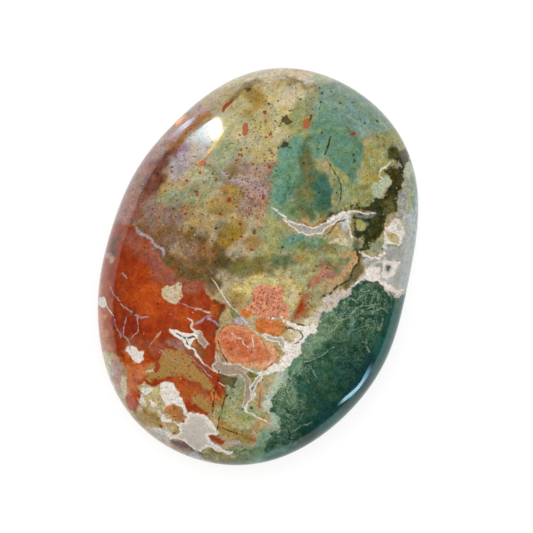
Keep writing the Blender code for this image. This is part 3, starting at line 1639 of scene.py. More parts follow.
GROUND = Palette(Tint.SAND, washes(
    # The rim, from the left over the top to the right
    (Tint.DUSTY_ROSE, 1, 7, (92, 268, 112, 222, 132, 180, 160, 140, 190, 108), 17),
    (Tint.SHELL, 0.8, 7, (178, 116, 195, 104, 215, 88), 12),
    (Tint.BUFF, 0.9, 8, (205, 88, 235, 74, 262, 64), 16),
    (Tint.CREAM, 0.9, 6, (225, 76, 245, 70, 265, 62, 305, 62), 12),
    (Tint.PALE_MINT, 0.95, 6, (306, 66, 328, 76, 348, 88), 11),
    (Tint.CELADON, 0.95, 7, (352, 84, 378, 108, 392, 128), 13),
    # The top and the shoulder
    (Tint.HAY, 0.95, 14, 252, 128, 46, 38, -25),
    (Tint.BUFF, 0.7, 8, 244, 148, 18, 16, 10),
    (Tint.CREAM, 0.75, 8, 288, 98, 24, 13, 10),
    (Tint.BUFF, 0.8, 8, 228, 112, 16, 12, -30),
    (Tint.OCHRE, 0.9, 6, 256, 97, 12, 10),
    (Tint.OCHRE, 0.7, 5, 246, 117, 6),
    (Tint.KHAKI, 0.9, 9, 301, 122, 15, 22, 5),
    (Tint.PALE_MINT, 0.4, 8, 230, 140, 14, 24, 25),
    (Tint.SAGE, 0.6, 8, 228, 156, 17, 18, 30),
    (Tint.SAGE, 0.8, 7, 212, 178, 18, 10, 20),
    (Tint.UMBER, 0.55, 3, (232, 99, 240, 93, 250, 85, 258, 82), 2.5),
    (Tint.UMBER, 0.25, 3, (284, 86, 298, 82, 312, 90), 2),
    (Tint.CREAM, 0.65, 5, 304, 93, 11, 6, 15),
    (Tint.CREAM, 0.6, 5, 267, 84, 10, 6, -15),
    (Tint.APRICOT, 0.7, 4, 297, 75, 16, 4),
    (Tint.STRAW, 0.5, 5, 272, 92, 12, 8, -20),
    (Tint.FOG, 0.25, 6, 276, 132, 6, 14, 5),
    (Tint.CREAM, 0.9, 4, (270, 74, 290, 76, 312, 79), 4),
    (Tint.SAGE, 0.8, 7, 315, 101, 14, 11, 30),
    (Tint.CELADON, 0.7, 6, 325, 118, 12, 12, 20),
    (Tint.SAGE, 0.7, 5, 330, 88, 14, 6, 35),
    (Tint.BRONZE, 0.9, 4, 307, 157, 7, 4.5, -10),
    (Tint.KHAKI, 0.9, 4, 318, 168, 6, 12, -10),
    (Tint.DARK_OLIVE, 0.55, 3, 309, 145, 6, 4, 20),
    (Tint.MINT, 0.6, 4, 284, 154, 7, 6),
    (Tint.KHAKI, 0.8, 4, 276, 189, 5, 10),
    (Tint.KHAKI, 0.8, 4, 290, 212, 9, 5, 20),
    (Tint.OLIVE, 0.8, 4, 303, 213, 8, 6, 15),
    (Tint.SEA, 0.6, 5, 362, 114, 12, 8, 40),
    (Tint.RUST, 0.6, 2.5, 304, 157, 3, 2),
    # The left shoulder
    (Tint.MAUVE, 0.8, 9, 135, 205, 22, 34, 22),
    (Tint.DUSTY_ROSE, 0.8, 6, 124, 212, 9, 28, 20),
    (Tint.MAUVE, 0.9, 8, 165, 212, 26, 12),
    (Tint.OCHRE, 0.45, 7, 190, 216, 12, 7, 5),
    (Tint.MAUVE, 0.6, 6, 168, 218, 20, 9, 5),
    (Tint.TAUPE, 0.95, 7, 160, 234, 26, 11, 10),
    (Tint.TAUPE, 0.9, 6, 190, 241, 14, 9, 8),
    (Tint.MAUVE, 0.85, 5, 154, 222, 14, 9, 10),
    (Tint.PLUM, 0.6, 4, (132, 222, 140, 204, 150, 186, 158, 172), 4),
    (Tint.UMBER, 0.9, 4, 217, 247, 11, 9),
    (Tint.SMOKE, 0.6, 4, 214, 258, 9, 7, 20),
    (Tint.STRAW, 0.7, 4, 196, 171, 8, 7, 20),
    (Tint.STRAW, 0.7, 4, 172, 184, 10, 7, -10),
    (Tint.UMBER, 0.8, 6, 192, 236, 14, 8, 5),
    (Tint.BUFF, 0.8, 6, 195, 172, 11, 8, 15),
    (Tint.BUFF, 0.8, 6, 175, 184, 16, 10, -5),
    (Tint.OCHRE, 0.45, 6, 172, 184, 17, 12, -5),
    (Tint.OCHRE, 0.35, 5, 163, 190, 8),
    (Tint.SAGE, 0.8, 6, 186, 198, 28, 9, -4),
    (Tint.SAND, 0.7, 6, 202, 214, 10, 8),
    (Tint.CREAM, 0.35, 5, 201, 182, 7, 6),
    (Tint.MAROON, 0.8, 6, (146, 194, 153, 180, 160, 166, 170, 152, 181, 142), 4, 7, 7, 5),
    (Tint.BRONZE, 0.75, 4, (170, 148, 182, 134, 193, 126, 206, 117), 4),
    (Tint.LILAC, 0.75, 6, 179, 164, 9, 18, 28),
    (Tint.SHELL, 0.85, 4, (158, 154, 168, 141, 182, 128), 4),
    (Tint.ROSE, 0.5, 4, (134, 216, 146, 194), 4),
    # The middle of the face
    (Tint.MAUVE, 0.85, 10, 250, 186, 30, 28, 15),
    (Tint.SHELL, 0.55, 6, 252, 186, 13, 26, 12),
    (Tint.HAY, 0.4, 6, 262, 150, 12, 10),
    (Tint.LILAC, 0.5, 5, 243, 178, 10, 7, 20),
    (Tint.MAUVE, 0.75, 4, 270, 171, 6, 11, 5),
    (Tint.OLIVE, 0.6, 4, 230, 171, 7, 6),
    (Tint.OCHRE, 0.85, 5, 232, 192, 9),
    (Tint.OCHRE, 0.8, 6, 224, 208, 16, 9, -8),
    (Tint.MAUVE, 0.6, 6, 249, 208, 12, 8),
    (Tint.SAND, 0.7, 6, 243, 224, 12, 8),
    (Tint.OCHRE, 0.6, 5, 226, 212, 14, 10, -10),
    (Tint.GOLD, 0.95, 4, 228, 236, 12, 8, -10),
    (Tint.GOLD, 0.6, 4, 236, 228, 8, 7),
    (Tint.OLIVE, 0.5, 4, 224, 231, 8, 6),
    (Tint.OCHRE, 0.8, 5, 250, 240, 9, 7),
    (Tint.TAUPE, 0.9, 7, 200, 256, 18, 12, 15),
    (Tint.TAUPE, 1, 4, (158, 250, 168, 264, 182, 274, 208, 283), 12),
    (Tint.UMBER, 0.8, 4, (164, 258, 176, 270, 190, 277, 214, 284), 6),
    (Tint.MAUVE, 0.6, 5, 180, 246, 18, 10, 15),
    (Tint.UMBER, 0.8, 6, 203, 268, 16, 8, 25),
    (Tint.SMOKE, 0.85, 6, 226, 262, 16, 9, 12),
    (Tint.OLIVE, 0.85, 5, 250, 263, 14, 7, 5),
    (Tint.KHAKI, 0.75, 6, 268, 253, 14, 9),
    (Tint.OLIVE, 0.8, 4, 266, 258, 11, 5, 4),
    (Tint.OLIVE, 0.85, 4, (232, 268, 248, 271, 266, 269, 284, 266, 300, 257), 6),
    (Tint.FERN, 0.5, 4, 284, 265, 12, 5, 5),
    (Tint.KHAKI, 0.9, 7, 271, 234, 16, 14),
    (Tint.FERN, 0.6, 5, 287, 261, 13, 6, 5),
    # Teal clouds with olive between them
    (Tint.CELADON, 1, 7, 346, 110, 34, 19, 38),
    (Tint.SEA, 0.95, 7, 326, 134, 20, 22, 10),
    (Tint.SEA, 1, 7, 288, 172, 17, 34, 12),
    (Tint.TEAL, 0.6, 7, 291, 202, 13, 22, 4),
    (Tint.FERN, 0.9, 6, 309, 182, 10, 40, -4),
    (Tint.OLIVE, 0.6, 5, 309, 176, 7, 28, -4),
    (Tint.DEEP_TEAL, 0.95, 5, 325, 197, 8, 24, -5),
    (Tint.OLIVE, 0.9, 3, 329, 215, 11, 5, -20),
    (Tint.DARK_OLIVE, 0.5, 3, 329, 217, 11, 4, -20),
    (Tint.TEAL, 0.8, 5, 349, 158, 17, 27, 10),
    (Tint.SEA, 0.7, 6, 344, 158, 10, 18, 10),
    (Tint.SEA, 0.9, 6, 298, 243, 20, 9, -12),
    (Tint.SEA, 0.6, 5, 276, 214, 9, 8),
    # Below the white vein on the right
    (Tint.KHAKI, 0.85, 8, 330, 252, 34, 14),
    (Tint.OLIVE, 0.7, 4, 357, 225, 9, 12),
    (Tint.SAGE, 0.8, 5, 380, 243, 16, 12, -30),
    (Tint.PEARL, 1, 6, (416, 158, 414, 190, 412, 214, 412, 240), 15),
    (Tint.ASH, 0.9, 3, (405, 168, 404, 190, 400, 208, 394, 222, 388, 232), 6),
    (Tint.DOVE, 0.9, 3, (350, 292, 362, 280, 374, 280, 384, 288, 394, 296, 408, 294), 6),
    # Painted reflection: a pale grey-blue band along the right rim, where the flank mirrors the
    # surroundings
    (Tint.RIM_REFLECTION_BLUE, 0.8, 5, (422, 170, 424, 215, 420, 262), 9),
    (Tint.FOG, 0.8, 4, 345, 222, 5, 12, 10),
    (Tint.CELADON, 0.8, 4, (410, 172, 414, 186, 414, 204), 5),
    (Tint.SAGE, 0.6, 4, (409, 192, 411, 200, 410, 210), 4),
    (Tint.DARK_OLIVE, 0.7, 3, 359, 257, 6),
    (Tint.DARK_OLIVE, 0.6, 4, (361, 246, 360, 260, 355, 272, 344, 283), 5, 5, 4),
    (Tint.HAY, 0.85, 7, 290, 284, 46, 12, -4),
    (Tint.KHAKI, 0.45, 5, 303, 285, 10, 9),
    (Tint.STRAW, 0.9, 5, 248, 289, 16, 9, -10),
    (Tint.STRAW, 0.85, 5, 289, 297, 7, 15),
    (Tint.STRAW, 0.7, 4, 276, 280, 22, 5, -4),
    (Tint.KHAKI, 0.6, 6, 312, 270, 22, 9),
    (Tint.OLIVE, 0.5, 4, 340, 266, 9, 9, 30),
    (Tint.SAND, 0.7, 5, 322, 285, 16, 8, -15),
    (Tint.TAUPE, 0.5, 3, 316, 284, 6, 7, 20),
    (Tint.OCHRE, 0.8, 4, 303, 261, 9, 6),
    (Tint.OLIVE, 0.6, 4, 322, 250, 13, 5, -12),
    (Tint.TAUPE, 0.6, 4, 327, 270, 7, 8, -20),
    (Tint.FERN, 0.6, 4, 312, 244, 12, 4, -15),
    (Tint.BRONZE, 0.8, 5, 305, 305, 9, 11, 35),
    (Tint.ROSE, 0.65, 4, (296, 317, 303, 306, 311, 296), 3),
    (Tint.RUST, 0.7, 3, 302, 306, 2.6, 4.5, 25),
    (Tint.RUST, 0.5, 3, 310, 298, 2.4, 2.2, 25),
    (Tint.ROSE, 0.7, 3, (311, 287, 316, 282, 322, 276, 332, 274), 2.6),
    (Tint.BLUSH, 0.5, 3, (318, 282, 328, 272), 4),
    (Tint.KHAKI, 0.7, 4, 316, 300, 7, 10, 30),
    (Tint.OCHRE, 0.75, 5, 236, 297, 9, 7),
    (Tint.BUFF, 0.8, 5, 293, 298, 7, 14),
    # The lower middle
    (Tint.SLATE, 0.8, 5, 225, 366, 12, 8, 15),
    (Tint.CREAM, 0.8, 4, (300, 340, 308, 326, 316, 314), 5),
    (Tint.HAY, 0.8, 4, 317, 310, 7, 6, -40),
    (Tint.TAN, 0.8, 3, 239, 370, 14, 4, 8),
    (Tint.OLIVE, 0.5, 4, 251, 381, 8),
    (Tint.SAND, 0.7, 5, 238, 374, 14, 7, 15),
    (Tint.SAGE, 0.95, 7, 240, 404, 26, 28),
    (Tint.SAND, 0.8, 5, 260, 396, 8, 13),
    (Tint.MINT, 1, 4, (296, 362, 290, 378, 280, 388, 273, 398, 272, 408, 277, 416, 279, 426, 272, 438,
     264, 452), 8),
    (Tint.PALE_MINT, 0.7, 4, (286, 374, 278, 386, 270, 396, 268, 410), 5),
    (Tint.SEA, 0.5, 4, 287, 371, 6),
    (Tint.PEARL, 0.6, 3, (274, 394, 268, 408, 270, 424, 266, 438), 2.5),
    (Tint.BLUSH, 0.7, 2.5, (263, 386, 261, 397, 262, 408), 2),
    (Tint.CELADON, 0.8, 4, 264, 446, 10, 11),
    (Tint.KHAKI, 0.75, 5, 238, 417, 15, 7, 5),
    (Tint.HAY, 0.6, 5, 240, 427, 13, 6, 5),
    (Tint.HAY, 0.45, 5, 230, 416, 8, 12, 10),
    (Tint.OLIVE, 0.6, 4, 245, 400, 6, 5),
    (Tint.OCHRE, 0.85, 4, (219, 424, 232, 431, 248, 435), 5),
    (Tint.OLIVE, 0.7, 4, 244, 440, 12, 4, 5),
    (Tint.FERN, 0.9, 4, (230, 464, 246, 460, 258, 456), 8),
    (Tint.SEA, 0.7, 4, (256, 462, 266, 450, 268, 436), 6),
    # The lower left
    (Tint.BUFF, 0.95, 6, 140, 410, 38, 30, 30),
    (Tint.OCHRE, 0.7, 4, 145, 418, 13, 7, 25),
    (Tint.MILK, 0.8, 5, 156, 432, 22, 7, 30),
    (Tint.SHELL, 0.6, 3, (140, 424, 156, 436, 172, 444), 2.5),
    (Tint.CORAL, 0.7, 3, 172, 411, 7, 4, 10),
    (Tint.ROSE_GREY, 0.8, 4, 184, 418, 9, 5, 20),
    (Tint.SLATE, 0.8, 5, 192, 452, 18, 8, 24),
    (Tint.CREAM, 0.9, 4, (96, 345, 103, 358, 108, 372, 114, 386), 5),
    (Tint.BLUSH, 0.85, 4, (112, 358, 117, 372, 124, 386), 4.5),
    (Tint.LILAC, 0.6, 3, 112, 367, 4, 6, -20),
    (Tint.OCHRE, 0.9, 4, 149, 418, 13, 8, 25),
    # Painted reflection: a whitish-grey band along the bottom rim
    (Tint.FOG, 0.6, 4, (192, 457, 204, 463, 220, 468), 4),
    (Tint.STRAW, 0.4, 3, 156, 393, 6),
    (Tint.MAROON, 0.9, 3, 184, 446, 14, 4, 24),
    (Tint.OLIVE, 0.8, 4, 215, 456, 16, 7, 8),
    (Tint.TAUPE, 0.7, 4, 216, 438, 8, 5, 30),
    (Tint.BRONZE, 0.85, 5, 206, 396, 18, 12, 35),
    (Tint.RUST, 0.7, 4, 221, 387, 6, 9, -10),
    (Tint.UMBER, 0.6, 3, 227, 377, 6, 4, 20),
), seed=41, mottle=10.0)

RED_OUTLINE = (
    90, 222, 118, 223, 126, 225, 133, 226, 138, 232, 146, 238, 153, 246, 160, 254, 168, 266, 176, 275,
    184, 279, 205, 281, 206, 290, 214, 300, 224, 306, 221, 314, 218, 322, 216, 335, 217, 350, 214,
    362, 220, 374, 224, 382, 224, 388, 222, 395, 217, 399, 214, 398, 213, 405, 210, 413, 207, 417,
    197, 414, 187, 411, 183, 400, 176, 388, 162, 384, 152, 388, 144, 379, 138, 384, 140, 392, 138,
    400, 139, 409, 130, 409, 125, 397, 127, 385, 125, 372, 118, 358, 112, 352, 104, 352, 80, 356, 66,
    330, 62, 280, 66, 240,
)
RED_BED = Bed("red_bed", marks((RED_OUTLINE,)), Palette(Tint.BRICK, washes(
    (Tint.EMBER, 0.7, 8, 142, 290, 26, 24, 20),
    (Tint.FLAME, 0.7, 8, 146, 300, 14, 22, 25),
    (Tint.FLAME, 0.55, 7, 178, 312, 22, 9, 15),
    (Tint.ROSE, 0.35, 5, 190, 293, 10, 5, 15),
    (Tint.ROSE, 0.85, 6, (130, 236, 146, 250, 160, 268, 176, 282, 202, 286), 8),
    (Tint.BLUSH, 0.4, 5, (150, 248, 164, 270), 3),
    (Tint.SMOKE, 0.75, 3, 116, 248, 4, 7, 15),
    (Tint.ROSE, 0.6, 6, (128, 240, 144, 258, 156, 276), 7),
    (Tint.MAROON, 0.45, 3, (163, 342, 176, 350, 192, 362, 206, 376), 2.6),
    (Tint.ROSE, 0.55, 4, (186, 350, 200, 364, 210, 378), 4),
    (Tint.ROSE, 0.7, 5, 166, 275, 12, 6, 30),
    (Tint.TAUPE, 0.7, 4, 180, 278, 12, 4),
    (Tint.ROSE, 0.7, 4, 190, 286, 10, 5),
    (Tint.RUST, 0.8, 6, 131, 322, 10, 16),
    (Tint.EMBER, 0.6, 5, 178, 325, 14, 7),
    (Tint.RUST, 0.7, 5, 209, 325, 8, 10),
    (Tint.SMOKE, 0.6, 3, (216, 300, 222, 308, 219, 322, 215, 338), 2.2),
    (Tint.COPPER, 0.7, 4, 213, 309, 6, 5),
    (Tint.ROSE, 0.7, 5, 152, 349, 15, 8, 20),
    (Tint.ROSE_GREY, 0.8, 4, 180, 343, 17, 6, 12),
    (Tint.TAUPE, 0.7, 4, 196, 352, 14, 6, 35),
    (Tint.SAND, 0.6, 2, (184, 386, 196, 393, 208, 402), 1.8),
    (Tint.OCHRE, 0.5, 2, (170, 384, 184, 390, 196, 398), 1.6),
    (Tint.MAROON, 0.6, 1.5, (188, 380, 200, 388, 212, 396), 1.2),
    (Tint.ROSE, 0.8, 5, 131, 341, 8, 7),
    (Tint.COPPER, 0.9, 6, 130, 372, 13, 26, 8),
    (Tint.CORAL, 0.7, 5, 130, 374, 7, 12, 8),
    (Tint.CORAL, 0.6, 5, 131, 388, 7, 8),
    (Tint.FLAME, 0.7, 4, 133, 401, 6, 8),
    (Tint.APRICOT, 0.6, 4, 143, 370, 6, 7),
    (Tint.COPPER, 0.9, 5, 190, 394, 18, 10, 25),
    (Tint.TAUPE, 0.5, 4, 207, 391, 7, 6),
    (Tint.COPPER, 0.6, 4, 178, 384, 10, 6, 10),
    (Tint.COPPER, 0.7, 6, (84, 250, 95, 290, 96, 320, 104, 350), 16),
    (Tint.ROSE, 0.8, 5, (90, 325, 100, 335, 108, 352), 9),
    (Tint.APRICOT, 0.75, 4, (96, 318, 101, 334, 108, 352), 6),
    (Tint.CORAL, 0.6, 4, (96, 290, 97, 310, 100, 330), 4),
    (Tint.CORAL, 0.6, 4, 125, 349, 5, 6),
    (Tint.RUST, 0.8, 2.5, (114, 268, 113, 300, 115, 330, 119, 352), 2.2),
    (Tint.LILAC, 0.85, 2.5, 111, 258, 4, 5),
    (Tint.RUST, 0.8, 4, 216, 392, 5, 6),
), seed=51, wander=3.0, mottle=9.0), edge_mm=0.26, wobble_mm=0.7)

PINE_OUTLINE = (
    440, 288, 418, 292, 404, 294, 399, 298, 393, 297, 389, 293, 385, 288, 383, 282, 374, 281, 366,
    279, 358, 283, 352, 288, 350, 295, 345, 298, 338, 299, 334, 305, 326, 309, 321, 315, 318, 322,
    314, 330, 306, 335, 302, 342, 301, 350, 296, 354, 293, 358, 290, 368, 289, 380, 285, 386, 279,
    389, 275, 394, 272, 402, 273, 412, 278, 418, 279, 424, 277, 431, 272, 435, 268, 441, 265, 448,
    263, 457, 262, 490, 340, 490, 430, 430, 460, 350,
)
PINE_BED = Bed("pine_bed", marks((PINE_OUTLINE,)), Palette(Tint.PINE, washes(
    (Tint.FERN, 0.55, 7, 340, 314, 18, 12, -30),
    (Tint.MOSS, 0.6, 7, (300, 356, 312, 338, 326, 320, 340, 308), 4),
    (Tint.PINE, 0.6, 8, (300, 372, 316, 350, 336, 330, 360, 312), 12),
    (Tint.PINE, 0.7, 6, 376, 318, 12, 9, -20),
    (Tint.MOSS, 0.9, 5, 319, 337, 18, 9, -38),
    (Tint.MOSS, 0.8, 5, 306, 352, 11, 9, -30),
    (Tint.FERN, 0.7, 6, 334, 328, 16, 8, -35),
    (Tint.SEA, 0.8, 5, 299, 368, 7, 8),
    (Tint.DEEP_TEAL, 0.35, 8, 303, 386, 10),
    (Tint.DEEP_TEAL, 0.4, 7, 374, 344, 10, 14, 30),
    (Tint.DEEP_PINE, 0.7, 10, 352, 366, 26, 16, -42),
    (Tint.DEEP_PINE, 0.35, 8, 330, 398, 28, 14, -40),
    (Tint.BLUE_PINE, 0.7, 6, (310, 432, 340, 408, 362, 382, 372, 364), 8),
    (Tint.LAGOON, 1, 4, (262, 466, 290, 458, 322, 444, 356, 414, 382, 378, 398, 340, 408, 300), 12),
    (Tint.MOSS, 0.9, 5, 287, 399, 9, 13, 15),
    (Tint.MOSS, 0.7, 4, 281, 416, 6),
    (Tint.PINE, 0.5, 4, (284, 394, 287, 410, 284, 424), 5),
    (Tint.FERN, 0.5, 5, 285, 426, 9, 8),
    (Tint.DEEP_PINE, 0.45, 6, 296, 438, 16, 9, -20),
    (Tint.SEA, 0.6, 5, (264, 460, 274, 452, 282, 452), 4),
    (Tint.TEAL, 0.7, 4, 296, 366, 6, 12, 20),
    (Tint.CELADON, 0.6, 4, (299, 352, 312, 334, 324, 315), 2.5),
    (Tint.SEA, 0.2, 6, 352, 338, 11, 9),
    (Tint.SEA, 0.15, 6, 330, 371, 9, 8),
), seed=61, wander=5.0, mottle=8.0), edge_mm=0.2, wobble_mm=0.5, lumps_mm=0.6)

KHAKI_OUTLINE = (
    414, 112, 404, 122, 392, 128, 386, 130, 380, 133, 373, 138, 368, 144, 365, 150, 363, 157, 360,
    164, 360, 172, 356, 179, 352, 183, 348, 180, 342, 173, 336, 166, 331, 161, 330, 170, 332, 180,
    334, 190, 333, 200, 329, 210, 322, 218, 314, 224, 325, 221, 334, 215, 344, 213, 350, 209, 362,
    209, 372, 206, 376, 198, 376, 190, 376, 182, 384, 178, 386, 170, 392, 165, 400, 163, 406, 155,
    424, 152, 430, 130,
)
KHAKI_BED = Bed("khaki_bed", marks((KHAKI_OUTLINE,)), Palette(Tint.KHAKI, washes(
    (Tint.SAGE, 0.5, 5, 389, 138, 14, 7, 40),
    (Tint.OCHRE, 0.35, 6, 371, 178, 8, 10),
    (Tint.BUFF, 0.3, 5, 378, 152, 6, 8, 20),
    (Tint.TEAL, 0.35, 4, 340, 186, 4, 8, 10),
    (Tint.OLIVE, 0.9, 3, 330, 216, 10, 5, -20),
    (Tint.DARK_OLIVE, 0.8, 3, 331, 216, 10, 4, -20),
    (Tint.DARK_OLIVE, 0.8, 3, (387, 148, 398, 150, 407, 156, 412, 162), 3.5),
    (Tint.MOSS, 0.35, 6, 352, 192, 8),
), seed=71), wobble_mm=0.3)

DARK_OUTLINE = (
    386, 149, 391, 147, 398, 149, 404, 151, 409, 158, 410, 164, 405, 166, 404, 176, 403, 186, 399,
    196, 398, 206, 395, 213, 385, 215, 376, 214, 372, 211, 364, 212, 352, 209, 346, 211, 341, 214,
    335, 215, 334, 213, 342, 211, 347, 207, 352, 205, 362, 207, 370, 204, 373, 197, 378, 197, 384,
    196, 389, 189, 391, 181, 388, 175, 385, 170, 393, 166, 399, 168, 396, 160, 393, 155,
)
DARK_OUTLINE_BELOW = (
    356, 214, 368, 214, 378, 213, 385, 217, 384, 226, 381, 236, 373, 247, 364, 250, 358, 250, 364,
    243, 362, 238, 357, 238, 353, 230, 352, 222,
)
DARK_BED = Bed("dark_bed", marks((DARK_OUTLINE,), (DARK_OUTLINE_BELOW,)), Palette(Tint.DARK_OLIVE, washes(
    (Tint.OLIVE, 0.6, 4, 391, 205, 6, 8),
    (Tint.OLIVE, 0.3, 3, 400, 155, 6, 4, 30),
    (Tint.KHAKI, 0.85, 3, 360, 225, 5, 6),
    (Tint.SAGE, 0.8, 4, 378, 245, 6),
    (Tint.FOG, 0.6, 2.5, (354, 214, 364, 216, 376, 214), 1.6),
), seed=81, wander=2.0), edge_mm=0.2, wobble_mm=0.5, lumps_mm=0.7)

CHALCEDONY_OUTLINE = (
    366, 266, 364, 261, 368, 258, 376, 258, 383, 254, 387, 246, 399, 248, 404, 244, 405, 232, 413,
    238, 425, 236, 440, 245, 440, 268, 420, 276, 412, 287, 402, 291, 396, 290, 389, 284, 382, 280,
    379, 272, 372, 268,
)
CHALCEDONY_BED = Bed("chalcedony_bed", marks((CHALCEDONY_OUTLINE,)), Palette(Tint.PEARL, washes(
    (Tint.ASH, 0.8, 3, 394, 253, 11, 6, 5),
    (Tint.SLATE, 0.55, 4, 379, 264, 17, 8),
    (Tint.ASH, 0.6, 4, 400, 278, 7, 9),
    (Tint.MILK, 0.7, 1.5, (368, 263, 378, 262, 386, 258), 1.4),
    (Tint.CHALK, 0.5, 4, 392, 267, 6),
    # Painted reflection: the pale grey-blue band along the right rim, carried on down
    (Tint.RIM_REFLECTION_BLUE, 0.7, 4, (412, 240, 414, 262, 408, 286), 5),
), seed=91, wander=1.5, mottle=4.0), wobble_mm=0.12)

INLAYS = (
    Inlay("olive_patches", Tint.HONEY, Tint.OCHRE, marks(
        ((159, 360, 166, 350, 178, 349, 187, 355, 196, 365, 204, 375, 213, 386, 212, 392, 204, 388,
         196, 381, 184, 376, 172, 376, 162, 379, 151, 380, 147, 374, 150, 366),),
        ((191, 394, 199, 395, 207, 400, 212, 408, 208, 413, 200, 408, 193, 402),),
        ((167, 421, 173, 419, 179, 423, 177, 427, 170, 427),),
        ((225, 427, 233, 431, 240, 434, 236, 438, 227, 435),),
    ), edge_mm=0.3, wobble_mm=0.8, strength=0.85),
    Inlay("green_patches", Tint.OLIVE, Tint.KHAKI, marks(
        ((243, 375, 248, 371, 256, 372, 257, 377, 252, 382, 246, 383),),
        ((241, 399, 244, 396, 249, 397, 248, 402, 243, 403),),
        ((201, 455, 208, 449, 217, 449, 226, 455, 219, 459, 208, 459),),
        ((229, 309, 234, 310, 240, 318, 235, 320, 230, 317),),
    )),
    Inlay("peach_patch", Tint.SALMON, Tint.APRICOT, marks(
        ((252, 293, 258, 286, 268, 286, 280, 284.5, 284, 289, 282, 298, 285, 304, 288.5, 311, 290,
         318, 276, 318, 264, 317, 252, 316, 242, 312, 250, 306, 254.5, 300),),
    ), edge_mm=0.2),
    Inlay("bronze_patches", Tint.BRONZE, Tint.ORANGE, marks(
        ((270, 328, 273, 322, 281, 321, 287, 326, 286, 333, 280, 336, 273, 335),),
        ((163, 409, 172, 404, 182, 409, 187, 417, 180, 421, 170, 416),),
    ), strength=0.85),
    Inlay("orange_patches", Tint.ORANGE, Tint.CORAL, marks(
        ((254, 324, 259, 318, 267, 318, 274, 322, 275, 330, 269, 336, 262, 333, 257, 330),),
        ((240, 312, 246, 309, 252, 312, 251, 317, 244, 317),), (201, 163, 3.6, 3.9), (195, 343, 2.4, 2),
        ((218, 337, 223, 332, 230, 338, 236, 348, 236, 357, 229, 361, 222, 356, 218, 346),),
        ((212, 393, 216, 391, 219, 397, 217, 402, 213, 401),),
    )),
    Inlay("apricot_blob", Tint.APRICOT, Tint.CORAL, marks(
        ((217, 333, 221, 327, 228, 325, 238, 325, 246, 328, 252, 330, 258, 335, 264, 340, 270, 344,
         276, 348, 279, 352, 276, 358, 272, 363, 266, 368, 263, 372, 255, 366, 246, 367, 240, 364,
         235, 362, 227, 362, 222, 358, 220, 352, 217, 345, 216, 338),),
    ), core=Tint.CORAL, core_mm=0.7),
    Inlay("flame_patch", Tint.FLAME, Tint.BLUSH, marks(
        ((221, 334, 228, 329, 236, 332, 244, 338, 254, 343, 262, 348, 262, 355, 252, 360, 240, 357,
         230, 355, 223, 346),),
    ), edge_mm=0.5, wobble_mm=1.2, strength=0.45),
    Inlay("apricot_rim", Tint.SHRIMP, Tint.APRICOT, marks(
        ((262, 340, 269, 345, 275, 352, 271, 361, 262, 367, 252, 366), 1, 2.4, 3.2, 3.2, 2.8, 1.5),
    ), edge_mm=0.3, wobble_mm=0.7, strength=0.85),
    Inlay("lilac_patches", Tint.LILAC, Tint.LAVENDER, marks(
        ((233, 321, 237, 318, 244, 318, 249, 322, 246, 326, 239, 325, 234, 325),),
        ((228, 443, 233, 441, 240, 443, 239, 447, 231, 446),),
        ((137, 229, 143, 234, 150, 240, 157, 246, 163, 251, 165, 256), 1, 1.9, 1.4, 1.8, 0.8),
        ((121, 273, 124, 275, 127, 278), 0.8, 1.3, 0.8),
        ((215, 163, 222, 170, 230, 178, 240, 182, 247, 184, 251, 188), 0.8, 1.4, 1.3, 1.9, 0.7),
        ((262, 189, 265, 193, 268, 197), 0.7, 1.2, 0.7),
        ((196, 322, 201, 320, 205, 316, 212, 315), 1, 1.3, 1, 0.7),
        ((207, 319, 212, 321, 217, 325), 0.8, 1.2, 0.8),
    ), edge_mm=0.16, strength=0.85),
    Inlay("cream_patches", Tint.CREAM, Tint.BUFF, marks(
        ((163, 291, 168, 288, 173, 285, 181, 283, 182, 297, 178, 301, 176, 305, 172, 303, 164, 295),),
        ((288, 329, 292, 328, 302, 333, 300, 339, 296, 344, 289, 342),),
        ((120, 377, 125, 376, 127, 388, 126, 398, 122, 396),),
        ((330, 244, 333, 239, 338, 236, 344, 237, 348, 242, 347, 245, 338, 244),),
        ((161, 329, 157, 334, 154, 340, 150, 344, 153, 341, 157, 338, 160, 333),),
        ((196, 308, 203, 309, 211, 311), 0.8, 1.1, 0.9),
        ((147, 372, 152, 370, 158, 366), 0.9, 1.2, 0.8),
    ), strength=0.85),
    Inlay("sage_lens", Tint.SAGE, Tint.FERN, marks(
        ((229, 452, 234, 447, 242, 445, 250, 446, 253, 450, 248, 455, 240, 457, 232, 456),),
    )),
    Inlay("tan_worm", Tint.TAN, Tint.SAND, marks(
        ((343, 255, 348, 253, 353, 254, 354, 259, 351, 264, 347, 270, 342, 276, 335, 281, 326, 287),
         2.4, 2.6, 3, 2.8, 2.6, 2.6, 2.2, 1.6),
        ((385, 232, 393, 231, 397, 235, 399, 242, 391, 241, 388, 237),),
    )),
)

